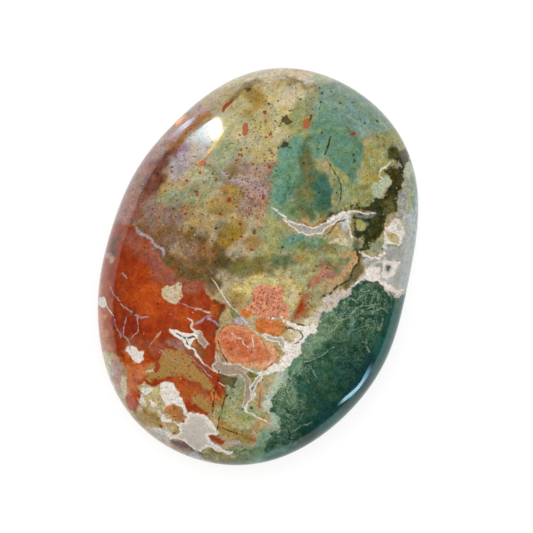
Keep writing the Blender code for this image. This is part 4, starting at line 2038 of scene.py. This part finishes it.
CRUSTS = (
    Inlay("mint_blob", Tint.PALE_MINT, Tint.MINT, marks(
        ((371, 188, 372, 193, 375, 196, 379, 198, 383, 195, 386, 190, 389, 187, 391, 182, 390, 177,
         386, 175, 383, 177, 380, 180, 374, 183),),
        ((405, 164, 410, 163, 413, 170, 410, 178, 406, 177),),
    )),
    Inlay("maroon_wedge", Tint.MAROON, Tint.PLUM, marks(
        ((170, 440.5, 178, 441.5, 186, 444.5, 194, 451, 186, 450.5, 177, 446.5),),
    ), edge_mm=0.25, wobble_mm=0.4, strength=0.85),
    Inlay("white_crusts", Tint.SNOW, Tint.SHELL_WHITE, marks(
        ((328, 221, 334, 215, 342, 211.5, 350, 211, 352, 213, 345, 217, 337, 222, 331, 224),),
        ((383.6, 230.7, 387.9, 223.6, 395, 219.3, 402, 223.6, 403.6, 230.7, 405, 233.6, 402, 237.9,
         401.4, 243.6, 398.6, 246, 392, 244, 387, 242, 384.6, 236.4),),
        ((387, 242, 385.7, 246, 385.7, 249.3, 383.6, 254.3, 379, 257.8, 373, 258.3, 369.3, 257.5,
         363.6, 254.6, 359, 251.5), 1),
        ((383.6, 262.1, 390.7, 260, 397.9, 260.7, 399.3, 263.6, 397.1, 269.3, 395.7, 275, 390.7,
         278.6, 385.7, 279.3, 382.1, 273.6, 382.9, 267.9),),
        ((365.7, 269.3, 370.7, 267.1, 378.6, 267.9, 380, 273.6, 379.3, 280, 369.3, 281, 363.6, 277),),
        ((379, 280, 386.4, 284.5, 390.7, 289.5, 397.9, 292.4, 404.3, 290), 1.5, 2.2, 2.6, 2.4, 1.5),
        ((353, 286, 358, 281.5, 363, 278), 0.9),
        ((313, 320, 318.5, 321, 315.8, 330, 312.5, 333.3, 308.3, 336.7, 302.5, 341.7, 301, 348.3, 302,
         353.3, 294.2, 358.3, 291.7, 365, 286, 368, 278, 371.5, 270.7, 373, 266.4, 374, 268, 364.5,
         273.6, 361.4, 278, 364, 280.7, 360, 285, 355.7, 286, 350, 284, 343, 288.6, 343, 294, 340,
         300, 335, 305, 330, 309, 325),),
        ((288, 322, 293, 326, 299, 328, 306, 328.5, 312, 325), 1.4, 2.2, 2.2, 2.4, 2),
        ((265, 318.5, 271, 319, 277, 317.8, 283, 318, 286, 322), 0.6, 1.2, 0.7, 1.5, 1),
        ((127, 350, 132, 346, 138, 350, 144, 353, 142, 359, 137, 362, 131, 358),),
        ((160.8, 390, 161.7, 384.2, 168.3, 381.7, 175, 384.2, 177.5, 390, 181.7, 396.7, 184.2, 403.3,
         187.5, 411, 184.6, 413.5, 182, 406.7, 179.2, 405, 175, 404.2, 170, 405, 165, 402.5, 160.8,
         396.7),),
        ((140, 389.2, 146.7, 385.8, 153.3, 390, 151.7, 393.3, 147.5, 395, 143.3, 393.3),),
        ((139.7, 396.7, 142.5, 396.7, 144.2, 401.7, 145.8, 405.8, 143.3, 406.3, 140.8, 402.5),),
        ((150, 401, 154, 401, 156.5, 405, 154, 408, 151, 406),),
        ((158, 411, 163, 416, 167, 420, 172, 423, 178, 425, 186, 422), 0.9, 1.3, 1.5, 1.2, 1),
        ((97, 300, 101, 297, 106, 301, 105, 306, 98, 305),),
    ), strength=0.95, edge_mm=0.14, wobble_mm=0.55),
    Inlay("grey_crusts", Tint.DOVE, Tint.BEIGE, marks(
        ((323.3, 296.5, 330, 294.5, 338.3, 290.5, 346.7, 288.3, 351.7, 289, 350, 295, 341.7, 299.2,
         336.7, 305, 333.3, 308.3, 325, 311.7, 321.7, 315.8, 320, 323.3, 316, 326, 312, 322, 316, 314,
         321, 308, 325, 303),),
    ), strength=0.9, edge_mm=0.16, wobble_mm=0.8, lumps_mm=0.22),
    Inlay("pale_pools", Tint.SNOW, Tint.MILK, marks(
        ((184, 413, 193.3, 413.3, 201.7, 415, 208.3, 419.2, 213.3, 425, 218.3, 431.7, 220, 435, 214,
         434.5, 208.3, 435.8, 209.2, 439.2, 213.3, 443.3, 220, 446.7, 226.7, 451, 233.3, 452, 228,
         455.5, 218.3, 453.3, 210, 448.3, 203.3, 448.3, 200, 452.5, 193, 448.6, 187, 443.4, 179,
         440.4, 171, 438.8, 177, 435, 180, 430, 177.5, 425, 182.5, 423.3, 186, 419),),
    ), core=Tint.DOVE, core_mm=0.45, strength=0.95, wobble_mm=0.45),
    Inlay("grey_pools", Tint.SNOW, Tint.MILK, marks(
        ((264, 335, 268, 336, 273, 337.5, 279, 340, 284, 345, 287, 351), 1.2, 3, 3.6, 3.2, 3, 2),
        ((285, 218, 293, 223.5, 301, 229, 311, 231, 321, 230, 329, 224, 335, 219, 343, 216), 1.2, 2.2,
         4.4, 4, 3.9, 2.4, 2.6, 1.4),
        ((265, 373, 258, 378, 255, 384, 252, 389, 254, 394, 251, 399, 247, 405, 248, 411), 1.6, 2.4,
         2.8, 2, 1.6, 1.4, 1),
    ), core=Tint.ASH, core_mm=0.22, strength=0.9, wobble_mm=0.35),
    Inlay("white_vein", Tint.SNOW, Tint.SHELL_WHITE, marks(
        ((169.4, 329.4, 175, 331.1, 181.7, 332.8, 188.3, 334, 194.4, 333, 198.3, 332.6, 199, 338.9,
         195, 340, 191.4, 341, 190.4, 343.9, 192.8, 347.2, 196.1, 351.7, 198.6, 355, 202, 359, 197.2,
         356, 192.2, 351, 188.2, 347, 184, 343.9, 180.7, 339.8, 176.2, 337.6, 172.3, 333.9),),
    ), edge_mm=0.09, wobble_mm=0.2),
    Inlay("lilac_pools", Tint.MILK, Tint.BEIGE, marks(
        ((197.3, 330.5, 201.7, 333.9, 203.9, 338.3, 207.8, 340.6, 211, 343.5, 207.8, 345, 206.7,
         348.8, 203.9, 348, 200.6, 345.4, 198.3, 342, 197.6, 338.9),),
        ((215.4, 349, 217, 355, 219.5, 360, 224, 363, 229, 363.6, 232.8, 361.8, 237.2, 362.8, 241.7,
         365, 247, 369.4, 252, 370.6, 248, 372.6, 241, 372, 236, 374.4, 230, 375.2, 224, 374, 218.3,
         371.4, 213.9, 368.4, 211.2, 363.6, 215.2, 360.6, 214.2, 356.2),),
        ((232, 368, 240, 372, 246.5, 378, 247.5, 387, 249, 394, 246, 402, 245, 408), 1.2, 2.6, 3.2, 3,
         3.4, 2.8, 1.2),
    ), core=Tint.PIGEON, core_mm=0.16, edge_mm=0.1, wobble_mm=0.22, strength=0.92),
    Inlay("brown_patch", Tint.UMBER, Tint.BARK, marks(
        ((220.6, 372.7, 228, 375.4, 236.1, 377.8, 234, 383, 231.7, 387.2, 226, 384.4, 222.2, 380.7),),
        ((366, 283, 372, 281.5, 380, 283, 384, 288), 0.6, 1, 0.8),
    ), edge_mm=0.14, wobble_mm=0.2, strength=0.85),
)

THREADS = (
    Threads("white_threads", Tint.MILK, marks(
        ((213, 280, 218, 287, 224, 296, 229, 304, 235, 310, 242, 318, 248, 325, 255, 331, 260, 335),
         0.4, 0.9, 0.6, 0.25, 0.3, 0.5),
        ((198, 356, 206, 364, 212, 370, 218, 373), 0.9),
        ((245, 407, 246, 411, 252, 413, 258, 417, 266, 421), 0.9),
        ((274, 209, 280, 214, 286, 218), 0.7, 1),
        ((344, 216, 350, 212, 360, 212, 368, 214, 375, 212), 1.4, 1.3, 0.9, 0.7, 0.6),
        ((346, 218, 349, 228, 352, 237, 350, 246), 1),
        ((392, 162, 386, 165, 382, 170, 380, 176, 382, 178), 0.8),
        ((189, 320, 193, 323, 192, 327, 195, 330, 199, 333), 0.8, 1.2, 0.9),
        ((105, 303, 108, 308, 112, 314), 0.8),
        ((230, 333, 236, 338, 243, 338, 244, 343, 247, 346), 0.7), ((252, 337, 253, 346), 0.6),
        ((220, 383, 225, 386), 0.5), ((244, 368, 252, 370, 258, 373, 265, 374), 0.9),
        ((202, 418, 210, 424, 216, 432), 0.7),
    )),
    Threads("rose_threads", Tint.LILAC, marks(
        ((114, 319, 116, 325, 119, 332, 120, 337), 0.6),
        ((126, 317, 124, 325, 123, 334, 126, 339, 130, 344, 131, 349), 0.7),
        ((121, 304, 126, 308, 131, 311, 135, 314, 139, 317, 147, 316), 0.7, 0.8, 1.1, 0.7),
        ((138, 318, 139, 325, 138, 330, 135, 334, 132, 338), 0.6),
        ((111, 288, 114, 294, 119, 299), 0.8), ((172, 300, 184, 304, 196, 308), 0.5),
        ((160, 350, 170, 358, 178, 362), 0.4), ((190, 356, 200, 366, 212, 378), 0.5),
    ), strength=0.65, fray=0.9),
    Threads("dark_threads", Tint.BARK, marks(
        ((218, 341, 222, 350, 227, 361), 0.7),
        ((219, 372, 218, 381, 217, 388, 215, 393, 214, 404, 213, 410, 210, 415), 0.7),
        ((236, 379, 233, 386, 229, 393, 225, 398, 223, 405, 221, 413, 219, 422, 217, 430), 0.7),
        ((358, 253, 358, 262, 354, 268, 352, 275, 349, 280, 343, 283.5, 337, 287, 331, 293.5, 323,
         296.5, 322.5, 299), 1, 1.1, 1.5, 1.2),
        ((330, 138, 327, 148, 325, 155), 0.9),
        ((330, 165, 336, 175, 341, 185, 341, 197, 337, 207), 0.7),
        ((297, 323, 300, 324, 304, 325), 0.9), ((176, 443, 185, 447, 195, 451, 202, 455), 0.9),
        ((222, 428, 232, 432, 238, 434), 0.7),
        ((287, 328, 296, 330, 303, 333, 301, 340, 296, 344), 0.7),
        ((177.2, 334.4, 181.7, 336.3, 187, 338, 192.8, 336.9, 195, 337.6), 0.9, 1.3, 0.8),
        ((184, 337, 187, 341, 188, 344), 0.8), ((322, 237, 331, 232, 336, 224, 345, 221), 0.6),
    ), strength=0.75),
    Threads("moss_threads", Tint.MINT, marks(
        ((295, 370, 301.7, 363.3, 313.3, 360, 323.3, 355, 330, 350, 335, 346.7), 0.5),
        ((337.5, 321.7, 343.3, 320, 350, 315, 355, 311.7, 358.3, 306.7, 368.3, 305, 380, 303.3), 0.6),
        ((353.3, 330, 363.3, 326.7, 370, 324.2), 0.5),
        ((363.3, 341.7, 366.7, 343.3, 365, 346.7, 370, 351.7), 0.5), ((305, 375, 309.2, 381.7), 0.5),
        ((311.7, 368.3, 317.5, 376.7), 0.5), ((290, 380, 293.3, 373.3, 301.7, 366.7), 0.5),
        ((290, 396.7, 288.3, 388.3, 292.5, 381.7), 0.5),
        ((292.1, 432.1, 300.7, 426.4, 310.7, 423.6), 0.5), ((380, 330, 381, 325, 382, 320), 1),
        ((344, 303, 350, 298, 356, 300, 362, 296), 0.5),
        ((366, 309, 372, 306, 376, 310, 382, 308, 388, 312), 0.5),
        ((318, 340, 326, 334, 334, 330, 338, 325), 0.5),
    ), strength=0.45, fray=1.5),
    Threads("rust_threads", Tint.BRONZE, marks(
        ((305, 223, 312, 226, 320, 222, 327, 218), 1),
        ((261, 386, 261, 395, 259, 402, 260, 407, 264, 411), 0.9), ((155, 339, 151, 344), 1),
        ((276, 347, 280, 353, 276, 360, 269, 366, 264, 371), 0.9, 1.2, 0.9),
        ((236, 361, 250, 362, 262, 358, 267, 350, 263, 342), 0.4, 0.6, 0.4),
        ((218, 335, 223, 328, 232, 325, 244, 327), 0.6),
    ), strength=0.8),
)

SPECKS = (
    Specks("dark_specks", Tint.INK, 0.95, 3, dabs(
        (0.42, 22, 245, 130, 70, 55), (0.46, 18, 230, 200, 70, 45), (0.5, 14, 300, 115, 40, 35),
        (0.1, 12, 290, 240, 40, 25), (0.25, 12, 355, 180, 40, 50), (0.3, 10, 235, 415, 30, 40),
        (0.15, 10, 150, 410, 30), (0.35, 10, 165, 165, 26, 30), (0.05, 10, 150, 320, 40, 70),
        (0, 5, 248, 346, 30, 20), (0, 5, 268, 301, 20, 18), (0, 6, 395, 255, 25),
        (0.35, 4, 375, 240, 10, 14),
    ), least=0.07, most=0.22, base=0.06, strength=0.8),
    Specks("fine_specks", Tint.BARK, 0.42, 71, dabs(
        (0.4, 20, 240, 120, 60, 45), (0.35, 14, 170, 225, 50, 40), (0.5, 12, 290, 100, 45, 22),
        (0.2, 12, 320, 160, 40, 50), (0.4, 8, 230, 262, 40, 16), (0.2, 10, 240, 415, 30, 35),
        (0.15, 6, RED_OUTLINE), (0.05, 5, 248, 346, 30, 20),
        (0.05, 5, (412, 150, 414, 220, 404, 285), 12),
    ), least=0.1, most=0.36, base=0.2, strength=0.7),
    Specks("green_specks", Tint.FERN, 0.62, 9, dabs(
        (0.5, 8, 190, 197, 34, 14), (0.6, 6, (390, 175, 386, 205, 372, 235), 16),
        (0.5, 6, 262, 262, 44, 10), (0.3, 16, 235, 140, 50, 45), (0.3, 10, 240, 405, 30),
        (0.25, 10, 285, 285, 50, 20),
    ), strength=0.55),
    Specks("red_specks", Tint.BLOOD, 0.85, 17, dabs(
        (0.34, 12, 250, 185, 32), (0.6, 8, 250, 200, 20, 22), (0.16, 14, 255, 130, 36, 34),
        (0.22, 12, 185, 215, 50, 40), (0.3, 5, 270, 302, 19, 17), (0.75, 4, 262, 295, 9, 7, -10),
        (0.4, 5, 305, 305, 9, 12), (0.35, 5, 326, 270, 9, 10), (0.35, 5, 314, 280, 7, 8),
        (0.35, 8, 163, 165, 20, 30), (0.12, 6, 245, 345, 26, 18), (0.12, 6, 160, 420, 25, 15),
    ), least=0.07, most=0.27, strength=0.85),
    Specks("maroon_specks", Tint.MAROON, 0.44, 83, dabs(
        (0.95, 7, 250, 196, 17, 28, 10), (0.25, 12, 262, 130, 30, 40), (0.35, 10, 175, 222, 40, 30, 10),
        (0.2, 5, 270, 302, 18, 15), (0.05, 6, 248, 346, 26, 18),
        (0.35, 6, (140, 210, 160, 165, 190, 130), 9), (0.25, 6, RED_OUTLINE),
        (0.35, 6, 182, 352, 26, 12, 15),
    ), least=0.12, most=0.4, strength=0.85),
    Specks("blood_specks", Tint.RED_JASPER, 0.5, 97, dabs(
        (1, 5, 270, 302, 18, 15), (0.6, 4, (302, 314, 310, 298, 328, 270), 5),
        (0.08, 6, 246, 346, 18, 12), (0.3, 8, 253, 200, 13, 22), (0.3, 6, 172, 345, 30, 14, 12),
        (0.2, 8, 160, 215, 28, 26),
    ), least=0.16, most=0.46, strength=0.75),
    Specks("pale_specks", Tint.CREAM, 0.7, 23, dabs(
        (0.16, 12, 165, 320, 50, 60), (0.2, 8, 130, 190, 14, 40), (0.3, 8, 180, 232, 34, 22),
        (0.75, 4, (404, 170, 402, 195, 394, 222, 374, 246), 7),
    ), least=0.08, most=0.22, strength=0.65),
    Specks("rust_specks", Tint.RUST, 1.5, 29, dabs(
        (0.45, 10, 160, 310, 55, 70), (0.3, 8, 190, 390, 26, 24), (0.2, 10, 170, 225, 40, 25),
    ), least=0.1, most=0.3, strength=0.5),
)

SPOTS = (
    Inlay("tan_leaf", Tint.HAY, Tint.OCHRE, marks(
        ((384.6, 230, 390, 231.6, 397, 235, 399.2, 243.4, 392.5, 242, 388, 238),),
        ((384, 224, 387, 222, 389.5, 224.5, 387, 226),),
    ), edge_mm=0.1, wobble_mm=0.2, strength=0.9),
    Inlay("ring_core", Tint.ASH, Tint.PEARL, marks(
        ((386, 265, 390, 263.5, 391.5, 268, 390, 273, 387, 274.6, 385.2, 270),),
        ((396.5, 225, 399, 224, 401, 228, 399.5, 231.5, 397.5, 229),),
    ), edge_mm=0.12, wobble_mm=0.2, strength=0.8),
    Inlay("lichen_leaf", Tint.LICHEN, Tint.HAY, marks(
        ((355, 222, 358.5, 219, 363.5, 221.5, 366, 227, 362, 231, 357.5, 229.5),),
    ), edge_mm=0.12, wobble_mm=0.4, strength=0.8),
    Inlay("blood_spots", Tint.BLOOD, Tint.RUST, marks(
        (199.5, 173, 1.3, 2.1, 10), (187, 181, 1.9, 1.6), (196, 192, 2, 1.4), (197, 195, 1.3),
        (265, 112, 2), (266, 137, 1.6), (270, 134, 1.4), (289, 137, 1.4), (238, 155, 1.2),
        (242, 155.5, 1.6), (238, 150, 1.1), (241, 149.5, 1.2), (264, 155, 1.3), (271, 153, 1.2),
        (269, 167, 1.6), (353, 133, 2.1), (349.5, 122.5, 1.5), (229.5, 200, 2.4), (220.5, 214, 2.1),
        (258, 218, 1.5), (240, 225, 1.4), (242, 236, 1.9), (263, 198, 1.1, 2.6, 20), (252, 250, 2),
        (216, 180, 1.5), (157, 367, 2.6, 5.6, 8), (174, 434, 2.6, 1.3, 10), (161, 426, 2.1),
        (176, 416, 2.6, 1.1, 15), (184, 421, 1.8, 1.2), (262, 300, 2, 1.4, 30), (274, 308, 1.6),
        (268, 296, 1.3), (279, 299, 1.2), (302, 304, 2, 1.5), (300, 312, 1.7), (232, 349, 1.3),
        (251, 352, 1.3), (228, 343, 1.1),
        ((233, 100, 228, 104, 225, 108, 223.5, 112), 1.1, 1.9, 1.9, 1.2),
        ((209, 435, 214, 434, 218, 438, 223, 439, 225, 441, 221, 444, 215, 441, 210, 438),),
    ), wobble_mm=0.45, edge_mm=0.07, strength=0.9),
    Inlay("russet_spots", Tint.COPPER, Tint.ROSE, marks(
        ((243, 124, 246, 122, 249, 125, 249, 131, 248, 136, 244, 135, 243, 130),),
        ((304, 121, 308, 118, 310, 123, 308, 128, 304, 127),), (266, 121, 2.2), (255, 440, 2.3),
        (216, 142, 1.3),
    ), wobble_mm=0.2, edge_mm=0.08, strength=0.9),
    Inlay("yellow_spots", Tint.AMBER, Tint.OCHRE, marks(
        ((251, 108, 254, 105, 259, 103, 261, 106, 257, 110, 252, 112),), (243, 116, 1.6),
        (232, 190, 3, 2.2), (214, 143.5, 1.2), (200, 193, 1.6), (236, 246, 2.4, 1.6),
    ), wobble_mm=0.08, edge_mm=0.14, strength=0.75),
    Inlay("ink_spots", Tint.INK, Tint.DARK_OLIVE, marks(
        (248, 90, 3.2, 1.6, -15), (246, 137, 2, 1.2), (230, 178, 2.3, 1.3, 30), (227, 191, 1.5),
        (233, 239, 1.4), ((283, 117, 287, 116, 289, 119, 292, 121, 289, 124, 285, 123, 281, 121),),
        ((283, 141, 287, 141, 289, 144, 287, 148, 282, 148, 281, 145),), (311, 118, 1.3, 3.4, 5),
        (266, 101, 1.5), (270, 104, 1.3), (290, 111, 1.2), (294, 110, 1.1), (312, 110, 1.2),
        (319, 109, 1.2), (318, 149, 1.4), (300, 153, 1.3), (322, 93, 1.2), (300, 99, 1.2),
        (314, 97, 1.1), (313, 100, 1.1), (306, 101, 1.2), (320, 102, 1.2), (340, 103, 1.3),
        (244, 145, 1.5), (291, 148, 1.2), (265, 161, 1.2), (270, 161, 1.1), (360, 112, 1.2),
        (377, 121, 1.2), (353.5, 154.5, 1.3), (355, 160, 1, 2.2, 10), (354, 99, 1.3), (352, 102, 1.1),
        (365, 123, 1.2), (283, 236, 1.2), (294, 239, 1.1), (283, 247, 1.2), (216, 229, 1.2),
        (233, 218, 1.2), (254, 231, 2.4),
        ((387, 266, 389, 265.5, 390, 268, 388.8, 270, 390, 272.6, 387.4, 272, 386.4, 269),),
        (135, 314, 1.7, 1.2), (235, 430, 1.1), (235, 434, 1.1), (257, 432, 1.1), (251, 407, 1.7),
        (242, 409, 1.2), (252, 389, 1.2), (240, 395, 1.1), (228, 450, 3.4, 1.2, 10),
        (174.5, 157.5, 1.3), (253, 164, 1.5, 1.1),
    ), wobble_mm=0.5, edge_mm=0.1, strength=0.85),
)

MOSS = dabs(
    (1.3, 9, (284, 392, 298, 368, 310, 348, 326, 326, 346, 306, 372, 292), 9),
    (0.9, 12, 366, 318, 34, 20, -25), (0.3, 12, 340, 360, 40, 26, -40),
    (0.15, 12, 328, 396, 40, 26, -35), (0.9, 6, 290, 405, 14, 18), (0.8, 6, 300, 355, 18, 14),
    (0.5, 6, 284, 438, 16, 14), (0, 4, (320, 430, 345, 408, 368, 380, 382, 350, 394, 318), 12),
    (0, 4, (200, 300, 300, 330, 280, 380, 200, 380)),
)

BLOTCHES = dabs(
    (0.2, 14, 252, 122, 52, 46, -25), (0.3, 14, 325, 130, 52, 60, -15), (0.25, 6, RED_OUTLINE),
    (0.3, 6, PINE_OUTLINE), (0.1, 5, CHALCEDONY_OUTLINE),
    (0.15, 5, (185, 413, 213, 422, 233, 448, 200, 453, 174, 440)),
    (0.2, 6, (96, 350, 96, 270, 120, 205, 160, 145, 200, 100, 260, 66, 330, 76), 9),
    (0.1, 4, (320, 440, 352, 408, 376, 376, 392, 340, 404, 300), 8),
)

PATTERN = Pattern(
    ground=GROUND,
    beds=(RED_BED, PINE_BED, KHAKI_BED, DARK_BED, CHALCEDONY_BED),
    inlays=INLAYS,
    threads=THREADS,
    specks=SPECKS,
    crusts=CRUSTS,
    spots=SPOTS,
    moss=MOSS,
    blotches=BLOTCHES,
)

GLEAMS = (
    Gleam(
        "window",
        (216.5, 118, 210, 121, 203, 125.5, 196.5, 130.5, 190, 135.5, 184, 142, 178.5, 149, 174, 159,
         171, 170),
        (218.5, 118, 222, 122, 222, 129, 219.5, 136, 214.5, 141.5, 210, 148.5, 205, 155, 198, 166,
         189, 176),
        (Glow.WHITE, Glow.WHITE, Glow.AQUA, Glow.AQUA, Glow.AQUA, Glow.LILAC, Glow.LILAC, Glow.FAINT,
         Glow.NONE),
        (Glow.WHITE, Glow.WHITE, Glow.WHITE, Glow.WHITE, Glow.AQUA, Glow.LILAC, Glow.LILAC,
         Glow.FAINT, Glow.NONE),
    ),
    Gleam(
        "gold_sliver",
        (223, 129, 219.5, 137, 215, 142.5, 210.5, 149, 206, 155, 203, 159),
        (226, 127, 222, 135, 217.5, 141.5, 212.5, 148, 207.5, 154.5, 203.5, 160),
        (Glow.PALE_GOLD, Glow.PALE_GOLD, Glow.GOLD, Glow.GOLD, Glow.PEACH),
    ),
    Gleam(
        "streak",
        (197, 115, 190, 119.5, 183, 124.5, 177, 130, 171, 136, 167, 141),
        (199, 117, 193, 122, 186.5, 127.5, 180, 133, 174.5, 138, 169, 142),
        (Glow.NONE, Glow.STREAK, Glow.STREAK, Glow.LILAC, Glow.LILAC, Glow.NONE),
        (Glow.NONE, Glow.LILAC, Glow.STREAK, Glow.LILAC, Glow.FAINT, Glow.NONE),
    ),
    Gleam(
        "peach_streak",
        (188.5, 112.5, 182.5, 117, 177, 122, 173, 126.5),
        (189.5, 114, 184, 119, 178.5, 124.5, 174.5, 128.5),
        (Glow.NONE, Glow.PEACH, Glow.PEACH, Glow.NONE),
    ),
    Gleam(
        "glint",
        (347, 336, 348.3, 333, 349.6, 330, 351, 326.5, 352.3, 323, 354, 320),
        (348, 336.4, 349.6, 333.5, 351, 330.5, 352.4, 327, 353.8, 323.6, 355, 320.4),
        (Glow.NONE, Glow.SKY, Glow.NONE, Glow.NONE, Glow.SKY, Glow.NONE),
    ),
    Gleam(
        "strip",
        (338, 406, 345.5, 400.5, 352.5, 395, 359, 388.5, 364.5, 381.5, 369, 374, 372, 366, 373, 359),
        (337.5, 405, 344, 398, 350.5, 392.5, 357, 386.5, 362, 380, 366, 372, 370, 364, 372, 359),
        (Glow.NONE, Glow.SKY, Glow.SKY, Glow.SKY, Glow.DUSK, Glow.DUSK, Glow.FAINT, Glow.NONE),
        (Glow.NONE, Glow.SKY, Glow.SKY, Glow.SKY, Glow.SKY, Glow.DUSK, Glow.FAINT, Glow.NONE),
    ),
)


def main() -> None:
    """Builds the stone and its studio, in order."""
    logging.basicConfig(level=logging.INFO, format="%(name)s: %(message)s")
    view = PhotoView()
    view.build_camera()
    length_mm = (CAD_BOX[1][1] - CAD_BOX[0][1]) / MM
    LOG.info("camera: %.0f px of stone in a frame of %d", length_mm * view.px_per_mm, PHOTO_SIDE)
    stone = PalmStone(StoneForm(), view, PATTERN, JasperFinish()).build()
    Studio(view, GLEAMS).build(stone)


if __name__ == "__main__":
    main()
